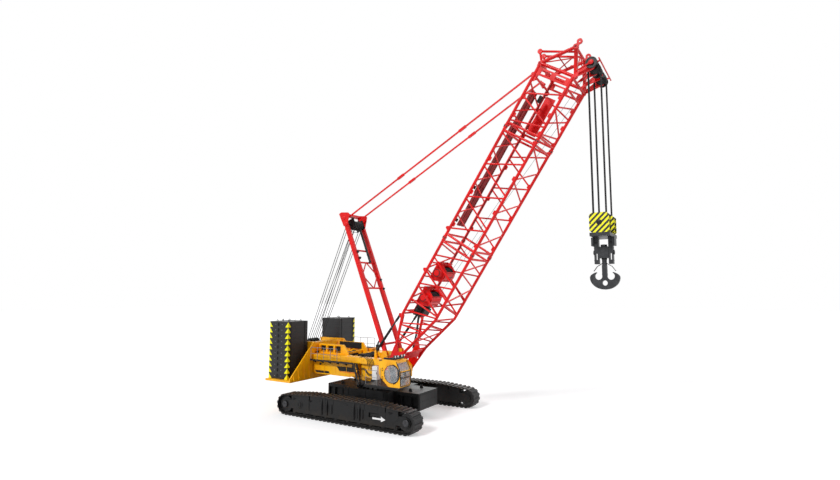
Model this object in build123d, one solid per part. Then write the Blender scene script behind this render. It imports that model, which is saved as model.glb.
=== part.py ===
# Crawler crane with a lattice boom, a mast and a ramshorn hook.
# Lengths are in mm: +X forward along the boom, +Y left, +Z up, origin on the ground
# under the slewing axis. The boom and the mast are built lying along +X and then tilted.
from build123d import *
import math
import os

os.makedirs("parts", exist_ok=True)

# Gaps
seat = 0.3
side_gap = 10
pin_gap = 0.4

# Crawlers
gauge = 9150
hub_span = 11200
shoe_width = 1140
end_radius = 796
belt_thick = 190
notch_depth = 62
notch_width = 46
shoe_count = 70
hump_front = 3400
hump_rear = -3200
hump_height = 1800
frame_half = 400
roller_radius = 165
roller_count = 10

# Car body
body_half = 2150
body_low = 640
body_top = 1960
arm_reach = 4400
arm_half = 1400
ring_radius = 1700
ring_top = 2160
bearing_top = 2500

# Superstructure
girder_in = 1100
girder_out = 1420
frame_rear = -6050
frame_front = 2050
deck_rear = 4330
deck_front = 4050
plate = 120

# Boom
boom_angle = 57.0
foot_x = 1560
foot_z = 3150
chord_y = 1549
top_h = 1300
bottom_h = -1338
chord_radius = 110
brace_radius = 54
bay = 2689
node_spread = 80
first_node = 12200
knee_top = 4780
knee_bottom = 5900
joint_one = 11475
joint_two = 20520
boom_end = 25170
pendant_beam_x = boom_end - 800
lug_half = 80
lug_tall = 135
foot_pin_radius = 130
tip_x = boom_end + 1180
tip_h = bottom_h - 678
tip_radius = 370

# Mast
mast_x = 1157
mast_z = 4715
mast_angle = 111.57
mast_length = 11818
mast_y = 1090
mast_wide = 240
mast_deep = 360

# Pendants
pendant_y = 843
pendant_x = pendant_beam_x + 210
pendant_h = 1770
pendant_half = 30

# Hook block, hanging plumb under the boom tip
rope_radius = 24
fall_y = 905
fall_pitch = 130
falls_each = 4
block_z = 13860
trunnion_z = 12020
hook_hole_z = 10050
hook_hole_radius = 170
hook_half = 130

# Counterweight
tray_rear = -8374
tray_front = -5583
tray_out = 4600
tray_low = 2290
tray_thick = 160
slab_rear = -8354
slab_front = -6246
slab_out = 4290
slab_in = 2060
slab_count = 10
stack_top = 7050
wing_top = 5300

# Cab
cab_rear = 2800
cab_front = 4640
cab_out = -4300
cab_in = -2900
cab_low = 2850
cab_top = 4720
cab_wall = 60
porthole_x = 3930
porthole_z = 3740
porthole_radius = 620
door_radius = 690
door_gap = 8

# Backstops
stop_x = 400
stop_z = 4800
stop_y = 1315
stop_top_x = 4500
stop_top_h = 1560
barrel_length = 2350
barrel_radius = 95
rod_radius = 60
rod_length = 2550


def box(x0, x1, y0, y1, z0, z1):
    size = Box(abs(x1 - x0), abs(y1 - y0), abs(z1 - z0))
    return Pos((x0 + x1) / 2, (y0 + y1) / 2, (z0 + z1) / 2) * size


def slab_xz(points, y0, y1):
    wire = Wire.make_polygon([Vector(x, y0, z) for x, z in points])
    return extrude(Face(wire), amount=abs(y1 - y0), dir=(0, 1 if y1 > y0 else -1, 0))


def slab_yz(points, x0, x1):
    wire = Wire.make_polygon([Vector(x0, y, z) for y, z in points])
    return extrude(Face(wire), amount=abs(x1 - x0), dir=(1 if x1 > x0 else -1, 0, 0))


def rod(p, q, radius, sides=0):
    p = Vector(*p)
    q = Vector(*q)
    plane = Plane(origin=p, z_dir=q - p)
    shape = RegularPolygon(radius, sides) if sides else Circle(radius)
    return extrude(plane * shape, amount=(q - p).length)


def disc_y(x, z, radius, y0, y1):
    return rod((x, y0, z), (x, y1, z), radius)


def flat(items):
    out = []
    for item in items:
        if isinstance(item, (list, tuple)):
            out += flat(item)
        else:
            out += list(item.solids())
    return out


def save(name, items, place=None):
    solids = flat(items if isinstance(items, (list, tuple)) else [items])
    if place is not None:
        solids = [place * s for s in solids]
    shape = solids[0] if len(solids) == 1 else Compound(children=solids)
    shape.label = name
    export_step(shape, "parts/" + name + ".step")


boom_place = Location((foot_x, 0, foot_z), (0, -boom_angle, 0))
mast_place = Location((mast_x, 0, mast_z), (0, -mast_angle, 0))


def boom_world(x, h, y=0):
    c = math.cos(math.radians(boom_angle))
    s = math.sin(math.radians(boom_angle))
    return (foot_x + c * x - s * h, y, foot_z + s * x + c * h)


def mast_world(x, h, y=0):
    c = math.cos(math.radians(mast_angle))
    s = math.sin(math.radians(mast_angle))
    return (mast_x + c * x - s * h, y, mast_z + s * x + c * h)


# Crawler loop: dense path points, then even stations with inward normals
def loop_path():
    half = hub_span / 2
    points = [(-half, 0.0), (half, 0.0)]
    for k in range(1, 25):
        a = math.radians(-90 + 175 * k / 24)
        points.append((half + end_radius * math.cos(a), end_radius + end_radius * math.sin(a)))
    points.append((hump_front, hump_height))
    points.append((hump_rear, hump_height))
    for k in range(0, 24):
        a = math.radians(95 + 175 * k / 24)
        points.append((-half + end_radius * math.cos(a), end_radius + end_radius * math.sin(a)))
    return points


def path_length(points):
    total = 0
    for a, b in zip(points, points[1:] + points[:1]):
        total += math.dist(a, b)
    return total


def station(points, s):
    s = s % path_length(points)
    for a, b in zip(points, points[1:] + points[:1]):
        step = math.dist(a, b)
        if s <= step and step > 0:
            t = s / step
            nx = -(b[1] - a[1]) / step
            nz = (b[0] - a[0]) / step
            return (a[0] + (b[0] - a[0]) * t, a[1] + (b[1] - a[1]) * t, nx, nz)
        s -= step
    return (points[0][0], points[0][1], 0.0, 1.0)


def offset(points, s, depth):
    x, z, nx, nz = station(points, s)
    return (x + nx * depth, z + nz * depth)


def belt(side):
    path = loop_path()
    pitch = path_length(path) / shoe_count
    outer = []
    for k in range(shoe_count):
        s = k * pitch
        outer.append(offset(path, s, 0))
        outer.append(offset(path, s + pitch - notch_width, 0))
        outer.append(offset(path, s + pitch - notch_width, notch_depth))
        outer.append(offset(path, s + pitch, notch_depth))
    half = hub_span / 2
    inner_radius = end_radius - belt_thick
    inner = [(-half, belt_thick), (half, belt_thick)]
    for k in range(1, arc_steps + 1):
        a = math.radians(-90 + 175 * k / arc_steps)
        inner.append((half + inner_radius * math.cos(a), end_radius + inner_radius * math.sin(a)))
    inner.append((hump_front, hump_height - belt_thick))
    inner.append((hump_rear, hump_height - belt_thick))
    for k in range(0, arc_steps):
        a = math.radians(95 + 175 * k / arc_steps)
        inner.append((-half + inner_radius * math.cos(a), end_radius + inner_radius * math.sin(a)))
    y0 = side * gauge / 2 - shoe_width / 2
    y1 = y0 + shoe_width
    return slab_xz(outer, y0, y1) - slab_xz(inner, y0 - 10, y1 + 10)


frame_top = 1290
frame_low = 545
arc_steps = 12
wheel_radius = (end_radius - belt_thick) * math.cos(math.radians(175 / arc_steps / 2)) - seat
wheel_half = 300
yoke_thick = frame_half - wheel_half - side_gap
hub_x = hub_span / 2
roller_z = belt_thick + seat + roller_radius
hanger_plate = 60
carrier_radius = 130
roller_half = frame_half - hanger_plate - seat


def track_frame(side):
    mid = side * gauge / 2
    reach = hub_x - wheel_radius - 90
    body = box(-reach, reach, mid - frame_half, mid + frame_half, frame_low, frame_top)
    for end in (-1, 1):
        for y0 in (mid - frame_half, mid + frame_half - yoke_thick):
            body += box(end * (reach - 60), end * hub_x, y0, y0 + yoke_thick, frame_low, frame_top - 120)
            body += disc_y(end * hub_x, end_radius, 330, y0, y0 + yoke_thick)
        cap_y = mid + side * frame_half
        body += disc_y(end * hub_x, end_radius, 250, cap_y, cap_y + side * 90)
    out = mid + side * frame_half
    for x in (-2500, 300, 2900):
        body -= box(x - 420, x + 420, out - side * 120, out + side * 10, frame_low + 260, frame_top - 160)
    for x in (-1350, -900, 1500, 1950):
        body += box(x - 45, x + 45, out, out + side * 60, frame_low + 60, frame_top - 40)
    return body


def rollers(side):
    mid = side * gauge / 2
    made = []
    span = hub_span - 2 * wheel_radius - 2 * roller_radius - 300
    for k in range(roller_count):
        x = -span / 2 + span * k / (roller_count - 1)
        start = (x, mid - roller_half, roller_z)
        made.append(rod(start, (x, mid + roller_half, roller_z), roller_radius - 0.5, 16))
    z = hump_height - belt_thick - seat - carrier_radius
    for x in (-2400, 0, 2400):
        made.append(rod((x, mid - 210 + seat, z), (x, mid + 210 - seat, z), carrier_radius, 12))
        made.append(box(x - 60, x + 60, mid - 300, mid - 210, frame_top + seat, z))
        made.append(box(x - 60, x + 60, mid + 210, mid + 300, frame_top + seat, z))
    return made


def end_wheels(side):
    mid = side * gauge / 2
    made = []
    hub = wheel_half + side_gap - seat
    for end in (-1, 1):
        x = end * hub_x
        body = rod((x, mid - wheel_half, end_radius), (x, mid + wheel_half, end_radius), wheel_radius, 36)
        made.append(body + rod((x, mid - hub, end_radius), (x, mid + hub, end_radius), 150, 16))
    return made


def hang_roller_frame(body, side):
    mid = side * gauge / 2
    for y0 in (mid - frame_half, mid + frame_half - hanger_plate):
        reach = hub_x - wheel_radius - 250
        body += box(-reach, reach, y0, y0 + hanger_plate, roller_z - 60, frame_low + 10)
    return body


for side, tag in ((-1, "right"), (1, "left")):
    save("track_belt_" + tag, belt(side))
    save("track_frame_" + tag, hang_roller_frame(track_frame(side), side))
    save("track_rollers_" + tag, rollers(side))
    save("track_wheels_" + tag, end_wheels(side))


def car_body():
    body = box(-body_half, body_half, -body_half, body_half, body_low, body_top)
    body += box(-arm_reach, arm_reach, -arm_half, arm_half, body_low + 60, body_top - 10)
    inner = gauge / 2 - frame_half - seat
    for x in (-1500, 1500):
        body += box(x - 620, x + 620, -inner, inner, body_low + 40, frame_top + 60)
    body += Pos(0, 0, (body_top + ring_top) / 2) * Cylinder(ring_radius, ring_top - body_top)
    for end in (-1, 1):
        body -= box(end * 2500, end * (arm_reach - 120), -arm_half - 10, -arm_half + 160, 900, 1700)
        body -= box(end * 2500, end * (arm_reach - 120), arm_half + 10, arm_half - 160, 900, 1700)
    return body


save("car_body", car_body())
save("slew_bearing", Pos(0, 0, (ring_top + seat + bearing_top) / 2)
     * Cylinder(ring_radius + 90, bearing_top - ring_top - seat))

# Superstructure frame: two long girders with the boom's ears outside them
lug_out = chord_y + lug_half
ear_in = lug_out + side_gap
ear_out = ear_in + 120
ear_radius = 330


def girder_outline():
    low = bearing_top + seat
    return [(frame_rear, 3660), (-1250, low), (1850, low), (frame_front, low + 180),
            (frame_front, foot_z + 420), (1550, deck_front), (-800, deck_front),
            (-2300, deck_rear), (frame_rear, deck_rear)]


def main_frame():
    low = bearing_top + seat
    body = box(-1800, 1900, -girder_in - 5, girder_in + 5, low, low + plate)
    for side in (-1, 1):
        body += slab_xz(girder_outline(), side * girder_in, side * girder_out)
        ear = box(700, foot_x, side * ear_in, side * ear_out, low + 60, foot_z + ear_radius)
        ear += disc_y(foot_x, foot_z, ear_radius, side * ear_in, side * ear_out)
        body += ear
        body += box(700, 1000, side * (girder_out - 5), side * ear_out, low + 60, foot_z + ear_radius)
        body += disc_y(foot_x, foot_z, foot_pin_radius, side * (girder_out - 5), side * (ear_out + 30))
    for x0, x1, z0, z1 in ((-5950, -5750, 3700, 4300), (-2480, -2340, 3000, 4200),
                           (-700, -560, low, 3950), (1780, 1900, low, 3300)):
        body += box(x0, x1, -girder_in - 5, girder_in + 5, z0, z1)
    return body


save("main_frame", main_frame())


deck_plate = 60
mast_pin_radius = 80
stop_pin_radius = 50
stop_eye_half = 50


def front_ears():
    low = deck_front + seat
    top = low + deck_plate
    body = box(260, 1540, -girder_out, girder_out, low, top)
    for side in (-1, 1):
        inner = side * (mast_y - mast_wide / 2 - side_gap)
        outer = side * (mast_y + mast_wide / 2 + side_gap)
        shape = [(760, top - 5), (1530, top - 5), (1320, 4880), (990, 4880)]
        body += slab_xz(shape, inner, inner - side * 55)
        body += slab_xz(shape, outer, outer + side * 40)
        body += disc_y(mast_x, mast_z, mast_pin_radius, inner - side * 5, outer + side * 5)
        stop_in = side * (stop_y - stop_eye_half - side_gap)
        stop_out = side * (stop_y + stop_eye_half + side_gap)
        ear = [(270, top - 5), (560, top - 5), (480, 4900), (320, 4900)]
        body += slab_xz(ear, stop_in, outer)
        body += slab_xz(ear, stop_out, stop_out + side * 35)
        body += disc_y(stop_x, stop_z, stop_pin_radius, stop_in - side * 5, stop_out + side * 5)
    return body


save("front_ears", front_ears())

raise_top = 5120


def rear_cheeks():
    made = []
    low = deck_rear + seat
    for side in (-1, 1):
        shape = [(-5560, low), (-2380, low), (-2500, 4640), (-2900, raise_top), (-5560, raise_top)]
        cheek = slab_xz(shape, side * 1180, side * 1360)
        for x in (-5400, -4600, -3800):
            cheek -= box(x, x + 620, side * 1170, side * 1370, low + 110, raise_top - 130)
        made.append(cheek)
    for x in (-5480, -4690, -2900):
        made.append(box(x - 70, x + 70, -1180 + seat, 1180 - seat, low, low + 160))
    return made


save("rear_frame", rear_cheeks())

drum_radius = 400
drum_half = 800
drum_z = deck_front + 30


def deck_winch(x):
    made = [disc_y(x, drum_z, drum_radius - 60, -drum_half, drum_half)]
    for side in (-1, 1):
        made.append(disc_y(x, drum_z, drum_radius, side * (drum_half + seat), side * (drum_half + 60)))
        made.append(disc_y(x, drum_z, 260, side * (drum_half + 60 + seat), side * (girder_in - seat)))
    return made


save("deck_winches", [deck_winch(-1450), deck_winch(-3500)])

# Engine house on the far side; beam, tank and walkway on the near side
save("engine_house", box(-5200, -900, girder_out + seat, 2900, 3050, 4350)
     + box(-4600, -2300, girder_out + 200, 2700, 4345, 4560)
     - box(-4300, -3100, 2880, 2910, 3300, 4100)
     - box(-2700, -1500, 2880, 2910, 3300, 4100))

beam_out = -2080
beam_low = 3890
beam_top = 4340
beam_front = 1250
tank_front = -950
walk_out = -2500


def side_tank():
    rear = tray_front + 23
    body = box(rear, beam_front, -girder_out - seat, beam_out, beam_low, beam_top)
    tank = [(rear + 100, beam_low + 5), (rear + 100, 2760), (tank_front - 700, 2740),
            (tank_front, 2900), (tank_front, beam_low + 5)]
    body += slab_xz(tank, -girder_out - seat, beam_out + 60)
    z = (beam_low + beam_top) / 2 + 40
    for k in range(4):
        body -= disc_y(-4990 + 1545 * k, z, 100, beam_out - 5, beam_out + 80)
    front = 700 - seat
    rear = tank_front + 300
    shape = [(rear, beam_low + 5), (rear, 2900), (front, 2760), (front, beam_low + 5)]
    return body + slab_xz(shape, -girder_out - seat, beam_out + 260)


save("side_tank", side_tank())

step_count = 6


def side_deck():
    rear = tray_front + 80
    made = [box(rear, tank_front, beam_out - seat, walk_out, beam_low - 60, beam_low)]
    x0 = tank_front + seat
    for y in (walk_out, beam_out - 60):
        stringer = [(x0, beam_low), (x0, beam_low - 220), (x0 + 480, 2300), (x0 + 600, 2300),
                    (x0 + 120, beam_low)]
        made.append(slab_xz(stringer, y, y + 30))
    for k in range(step_count):
        z = 2420 + k * (beam_low - 2620) / (step_count - 1)
        x = x0 + 60 + 480 * (beam_low - z) / (beam_low - 2300)
        made.append(box(x - 40, x + 150, walk_out + 30 + seat, beam_out - 60 - seat, z, z + 30))
    return made


save("side_deck", side_deck())
save("white_locker", box(900, 1380, walk_out, beam_out - seat, cab_low, beam_low - 40))


def rail_run(x0, x1, y, low, posts):
    made = [box(x0, x1, y - 20, y + 20, low + 1000, low + 1040)]
    made.append(box(x0, x1, y - 20, y + 20, low + 500, low + 530))
    for k in range(posts):
        x = x0 + 20 + (x1 - x0 - 40) * k / (posts - 1)
        made.append(box(x - 20, x + 20, y - 20, y + 20, low + seat, low + 500 - seat))
        made.append(box(x - 20, x + 20, y - 20, y + 20, low + 530 + seat, low + 1000 - seat))
    return made


near_rail = rail_run(-5450, -2600, walk_out + 40, beam_low, 5)
save("hand_rails", [near_rail, rail_run(-5150, -2750, 2800, 4350, 4)])


# Counterweight tray with its wings, and the slabs on it
def tray():
    floor = tray_low + tray_thick
    body = box(tray_rear, tray_front, -tray_out, tray_out, tray_low, floor)
    for side in (-1, 1):
        body += box(tray_rear + 60, tray_front, side * 1800, side * 1960, floor - 5, wing_top)
        wing = [(side * 1795, wing_top), (side * 1960, wing_top), (side * tray_out, floor + 120),
                (side * tray_out, floor - 5), (side * 1795, floor - 5)]
        body += slab_yz(wing, tray_front - 110, tray_front)
        wing_rear = [(side * 1795, wing_top - 900), (side * 1960, wing_top - 900),
                     (side * 2030, floor - 5), (side * 1795, floor - 5)]
        body += slab_yz(wing_rear, tray_rear + 60, tray_rear + 170)
    body += box(tray_front - 600, tray_front - 110, -1805, 1805, 4500, wing_top - 60)
    body += box(tray_rear + 60, tray_rear + 300, -1805, 1805, 3300, 4200)
    body += box(tray_front - 110, tray_front, -1805, 1805, floor - 5, 3200)
    for side in (-1, 1):
        body += box(-6500, frame_rear - seat, side * (girder_in + 5), side * (girder_out - 5), 3650, 4505)
    return body


save("counterweight_tray", tray())


def slabs(side):
    made = []
    low = tray_low + tray_thick + seat
    thick = (stack_top - low) / slab_count
    for k in range(slab_count):
        z = low + k * thick
        piece = box(slab_rear, slab_front, side * slab_in, side * slab_out, z, z + thick - seat)
        piece -= box(-7420, -7180, side * (slab_out - 60), side * (slab_out + 10), z + 90, z + thick - 90)
        made.append(piece)
    return made


save("counterweights_right", slabs(-1))
save("counterweights_left", slabs(1))


def luffing_block():
    made = [box(-7750, -7250, -640, 640, 4300, 4420)]
    made.append(box(tray_rear + 300 + seat, -7250, -600, -460, 4000, 4300 - seat))
    made.append(box(tray_rear + 300 + seat, -7250, 460, 600, 4000, 4300 - seat))
    for side in (-1, 1):
        cheek = [(-7700, 4420 + seat), (-7300, 4420 + seat), (-7300, 5250), (-7700, 5250)]
        made.append(slab_xz(cheek, side * 600, side * 520))
    for k in range(4):
        y = -375 + 250 * k
        made.append(disc_y(-7500, 4960, 430, y - 60, y + 60))
    for y in (-250, 0, 250):
        made.append(disc_y(-7500, 4960, 60, y - 65 + seat, y + 65 - seat))
    made.append(disc_y(-7500, 4960, 60, -520 + seat, -435 - seat))
    made.append(disc_y(-7500, 4960, 60, 435 + seat, 520 - seat))
    return made


save("luffing_block", luffing_block())

# Cab: a shell with real walls and a round side door, on a platform beside the frame
cab_outline = [(cab_rear + 860, cab_low), (cab_front - 80, cab_low), (cab_front, cab_low + 80),
               (cab_front, cab_top - 800), (cab_front - 380, cab_top - 60), (cab_front - 520, cab_top),
               (cab_rear + 340, cab_top), (cab_rear + 60, cab_top - 160), (cab_rear, cab_top - 480),
               (cab_rear + 30, cab_low + 830), (cab_rear + 220, cab_low + 560)]


def inset(points, d):
    cx = (cab_rear + cab_front) / 2
    cz = (cab_low + cab_top) / 2
    kx = 1 - 2 * d / (cab_front - cab_rear)
    kz = 1 - 2 * d / (cab_top - cab_low)
    return [(cx + (x - cx) * kx, cz + (z - cz) * kz) for x, z in points]


screen_low = cab_low + 110
screen_bend = cab_top - 800
screen_top = (cab_front - 330, cab_top - 160)


def slope_pane(depth0, depth1, margin):
    rise = screen_top[1] - screen_bend
    lean = cab_front - screen_top[0]
    n = math.hypot(rise, lean)
    ax = -lean / n
    az = rise / n
    first = (cab_front + ax * margin, screen_bend + az * margin)
    last = (screen_top[0] - ax * margin, screen_top[1] - az * margin)
    points = []
    for x, z in (first, last):
        points.append((x - az * depth0, z + ax * depth0))
    for x, z in (last, first):
        points.append((x - az * depth1, z + ax * depth1))
    return points


def cab_shell():
    body = slab_xz(cab_outline, cab_out, cab_in)
    body -= slab_xz(inset(cab_outline, cab_wall), cab_out + cab_wall, cab_in - cab_wall)
    body -= disc_y(porthole_x, porthole_z, door_radius + door_gap, cab_out - 20, cab_out + cab_wall + 20)
    body -= box(cab_front - 300, cab_front + 50, cab_out + 80, cab_in - 80, screen_low, screen_bend - 40)
    body -= slab_xz(slope_pane(-60, 160, 60), cab_out + 80, cab_in - 80)
    far = cab_in - cab_wall - 20
    body -= box(cab_rear + 620, cab_front - 400, far, cab_in + 20, cab_low + 500, cab_top - 300)
    body -= box(cab_rear - 50, cab_rear + 160, cab_out + 260, cab_in - 260, cab_low + 960, cab_top - 520)
    return body


hinge_x = porthole_x - door_radius - 60
hinge_y = cab_out - 24
hinge_rise = 300


def door_hinges(z):
    made = []
    for z0 in (z - 95, z + 45 + seat):
        made.append(rod((hinge_x, hinge_y, z0), (hinge_x, hinge_y, z0 + 50), 18))
        made.append(box(hinge_x - 60, hinge_x - 10, cab_out - seat, cab_out - 34, z0, z0 + 50))
    return made[0] + made[1], made[2] + made[3]


def cab_door():
    body = disc_y(porthole_x, porthole_z, door_radius, cab_out, cab_out + 45)
    body -= disc_y(porthole_x, porthole_z, porthole_radius, cab_out - 10, cab_out + 60)
    for z in (porthole_z - hinge_rise, porthole_z + hinge_rise):
        body += box(hinge_x, porthole_x - door_radius + 145, cab_out - 30, cab_out + 5, z - 40, z + 40)
        body += rod((hinge_x, hinge_y, z - 45 + seat), (hinge_x, hinge_y, z + 45), 18)
        body -= box(hinge_x - 30, porthole_x - door_radius + 95, cab_out - 5.5, cab_out + 10, z - 45, z + 45)
    return body


save("cab_shell", [cab_shell()])
save("cab_hinges", [door_hinges(porthole_z - hinge_rise), door_hinges(porthole_z + hinge_rise)])
save("cab_door", cab_door())
save("door_glass", disc_y(porthole_x, porthole_z, porthole_radius - seat, cab_out + 16, cab_out + 24))


def cab_glass():
    made = [box(cab_front - 36, cab_front - 28, cab_out + 80 + seat, cab_in - 80 - seat,
                screen_low + seat, screen_bend - 40 - seat)]
    made.append(slab_xz(slope_pane(24, 32, 60 + seat), cab_out + 80 + seat, cab_in - 80 - seat))
    made.append(box(cab_rear + 620 + seat, cab_front - 400 - seat, cab_in - 36, cab_in - 28,
                    cab_low + 500 + seat, cab_top - 300 - seat))
    return made


save("cab_glass", cab_glass())
seat_x = 3560


def cab_seat():
    y0 = (cab_out + cab_in) / 2
    low = cab_low + cab_wall + seat
    body = box(seat_x + 120, seat_x + 400, y0 - 180, y0 + 180, low, low + 330)
    body += box(seat_x, seat_x + 560, y0 - 250, y0 + 250, low + 325, low + 450)
    back = [(seat_x - 20, low + 330), (seat_x + 120, low + 330), (seat_x + 30, low + 1180),
            (seat_x - 100, low + 1180)]
    body += slab_xz(back, y0 - 240, y0 + 240)
    console = []
    for side in (-1, 1):
        console.append(box(seat_x + 160, seat_x + 620, y0 + side * 290, y0 + side * 430, low, low + 560))
    return [body, console]


save("cab_seat", cab_seat())


def cab_platform():
    top = cab_low - seat
    body = box(1500, cab_front - 300, cab_out + 60, -2560, top - 150, top)
    body += box(850, 1900, -2600, -ear_out - seat, top - 150, top)
    body += box(1900 - 5, 3300, -2600, -2300, top - 150, top)
    return body


save("cab_platform", cab_platform())


def cab_guard():
    made = []
    x = cab_front + seat
    made.append(box(x, x + 45, cab_out + 20, cab_in - 20, cab_low + 620, cab_low + 665))
    roof = cab_top + seat
    rear = cab_rear + 400
    front = cab_front - 540
    made.append(box(rear, front, cab_out + 60, cab_out + 120, roof, roof + 130))
    made.append(box(rear, front, cab_in - 120, cab_in - 60, roof, roof + 130))
    made.append(box(front - 80, front, cab_out + 120 + seat, cab_in - 120 - seat, roof, roof + 130))
    return made


save("cab_guard", cab_guard())


# Mast, built along +X from its foot pins
def mast_legs():
    made = []
    neck = mast_length - 330
    for side in (-1, 1):
        y0 = side * (mast_y - mast_wide / 2)
        y1 = side * (mast_y + mast_wide / 2)
        shape = [(0, -130), (900, -mast_deep / 2), (neck - 500, -mast_deep / 2), (neck, -105),
                 (neck, 105), (neck - 500, mast_deep / 2), (900, mast_deep / 2), (0, 130)]
        body = slab_xz(shape, y0, y1) + disc_y(0, 0, 130, y0, y1)
        body -= disc_y(0, 0, mast_pin_radius + pin_gap, y0 - side * 10, y1 + side * 10)
        head = [(neck - 5, -105), (mast_length, -130), (mast_length, 130), (neck - 5, 105)]
        face = side * (mast_y - 60)
        body += slab_xz(head, face, y1) + disc_y(mast_length, 0, 130, face, y1)
        body -= disc_y(mast_length, 0, 60, face - side * 10, y1 + side * 10)
        plate_in = side * (mast_y + mast_wide / 2 - 5)
        cheek = [(neck - 480, -105), (neck + 420, -mast_deep - 330), (mast_length + 260, -mast_deep - 250),
                 (mast_length + 590, 60), (mast_length + 560, 330), (neck - 300, mast_deep / 2 + 60)]
        body += slab_xz(cheek, plate_in, side * (mast_y + mast_wide / 2 + 40))
        made.append(body)
    return made


def mast_head():
    half = mast_y + mast_wide / 2 - 5 - seat
    return box(mast_length + 350, mast_length + 540, -half, half, -20, 300)


save("mast_legs", mast_legs(), mast_place)
mast_gap = mast_y - mast_wide / 2 - seat
sheave_x = mast_length - 560
tie_top = sheave_x - 2408
tie_high = sheave_x - 3508
tie_low = sheave_x - 5808
tie_radius = 75


def mast_cross(x, radius):
    return rod((x, -mast_gap, 0), (x, mast_gap, 0), radius)


def mast_ties():
    made = [mast_cross(x, tie_radius) for x in (tie_low, tie_high, tie_top)]
    made.append(mast_cross(700, 90))
    made.append(mast_head())
    low = tie_low + tie_radius + seat
    high = tie_high - tie_radius - seat
    middle = (low + high) / 2
    for side in (-1, 1):
        made.append(tie_bar(low, middle - 60, side))
        made.append(tie_bar(high, middle + 60, side))
    return made


def tie_bar(cross, leg, side):
    half = 38
    inner = 90
    dx = abs(leg - cross)
    dy = mast_gap - inner
    n = math.hypot(dx, dy)
    way = 1 if leg > cross else -1
    a = half * n / dx
    b = half * n / dy * way
    points = [(cross, inner + a), (leg - b, mast_gap), (leg + b, mast_gap), (cross, inner - a)]
    wire = Wire.make_polygon([Vector(x, side * y, -half) for x, y in points])
    return extrude(Face(wire), amount=2 * half, dir=(0, 0, 1))


save("mast_ties", mast_ties(), mast_place)


def mast_sheaves():
    made = [disc_y(sheave_x, 0, 75, -mast_gap, -700 - seat), disc_y(sheave_x, 0, 75, 700 + seat, mast_gap)]
    for k in range(5):
        y = -560 + 280 * k
        made.append(disc_y(sheave_x, 0, 400, y - 120, y + 120))
    for k in range(4):
        y = -420 + 280 * k
        made.append(disc_y(sheave_x, 0, 120, y - 20 + seat, y + 20 - seat))
    made.append(disc_y(sheave_x, 0, 120, -700, -680 - seat))
    made.append(disc_y(sheave_x, 0, 120, 680 + seat, 700))
    return made


save("mast_sheaves", mast_sheaves(), mast_place)
jack_y = 330
jack_radius = 95
jack_h = -tie_radius - jack_radius - 30


def mast_cylinder():
    start = tie_high - 60
    end = sheave_x - 440
    made = [rod((tie_high + 60 + seat, jack_y, jack_h), (end - seat, jack_y, jack_h), jack_radius)]
    low = jack_h - jack_radius
    made.append(box(start, tie_high + 60, jack_y - 60, jack_y + 60, low, -tie_radius - seat))
    made.append(box(end, sheave_x - 402, jack_y - 70, jack_y + 70, jack_h - jack_radius, 60))
    return made


save("mast_cylinder", mast_cylinder(), mast_place)


# Boom, built along +X from its foot pins: chords A and D on top, B and C below
right_top = (-chord_y, top_h)
left_top = (chord_y, top_h)
right_low = (-chord_y, bottom_h)
left_low = (chord_y, bottom_h)


def brace(x0, end0, x1, end1, radius=brace_radius):
    across = Vector(0, end1[0] - end0[0], end1[1] - end0[1]).normalized()
    start = Vector(x0, end0[0], end0[1])
    stop = Vector(x1, end1[0], end1[1])
    along = (stop - start).normalized()
    lean = along.dot(across)
    trim = (chord_radius + seat) / lean
    first = start + along * trim
    side = across.cross(Vector(1, 0, 0))
    corners = []
    for k in range(6):
        a = math.radians(60 * k)
        wide = Vector(1, 0, 0) * (radius * math.cos(a) / lean)
        corners.append(first + wide + side * (radius * math.sin(a)))
    return extrude(Face(Wire.make_polygon(corners)), amount=(stop - start).length - 2 * trim, dir=along)


def lace(end0, end1, stations):
    made = []
    ends = (end0, end1)
    for k in range(len(stations) - 1):
        way = node_spread if stations[k + 1] > stations[k] else -node_spread
        made.append(brace(stations[k] + way, ends[k % 2], stations[k + 1] - way, ends[(k + 1) % 2]))
    return made


def ring(x):
    return [brace(x, right_top, x, left_top), brace(x, right_low, x, left_low),
            brace(x, right_top, x, right_low), brace(x, left_top, x, left_low)]


def nodes(first, last, step=bay / 2):
    count = int(round((last - first) / step))
    return [first + k * (last - first) / count for k in range(count + 1)]


frame_pitch = 275
plate_end_x = 2400
plate_top_h = 470
plate_low_h = -400


def leg_end(x, h, knee_x, knee_h, half):
    dx = knee_x - x
    dh = knee_h - h
    n = math.hypot(dx, dh)
    return (dx / n, dh / n, [(x - dh / n * half, h + dx / n * half), (x + dh / n * half, h - dx / n * half)])


def foot_plates():
    made = []
    upper = leg_end(plate_end_x, plate_top_h, knee_top, top_h, 105)
    lower = leg_end(plate_end_x, plate_low_h, knee_bottom, bottom_h, 105)
    shape = [(0, 270), upper[2][0], upper[2][1], (2080, 30), lower[2][0], lower[2][1], (0, -270)]
    for side in (-1, 1):
        y0 = side * (chord_y - lug_half)
        y1 = side * (chord_y + lug_half)
        body = slab_xz(shape, y0, y1) + disc_y(0, 0, 300, y0, y1)
        body -= disc_y(0, 0, foot_pin_radius + pin_gap, y0 - side * 10, y1 + side * 10)
        body -= disc_y(1350, 250, 90, y0 - side * 10, y1 + side * 10)
        body -= disc_y(1350, -230, 90, y0 - side * 10, y1 + side * 10)
        made.append(body)
    gap = chord_y - lug_half - seat
    made.append(box(1560, 2120, -gap, gap, -330, -250))
    made.append(rod((2250, -gap, -380), (2250, gap, -380), 60))
    return made


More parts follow.
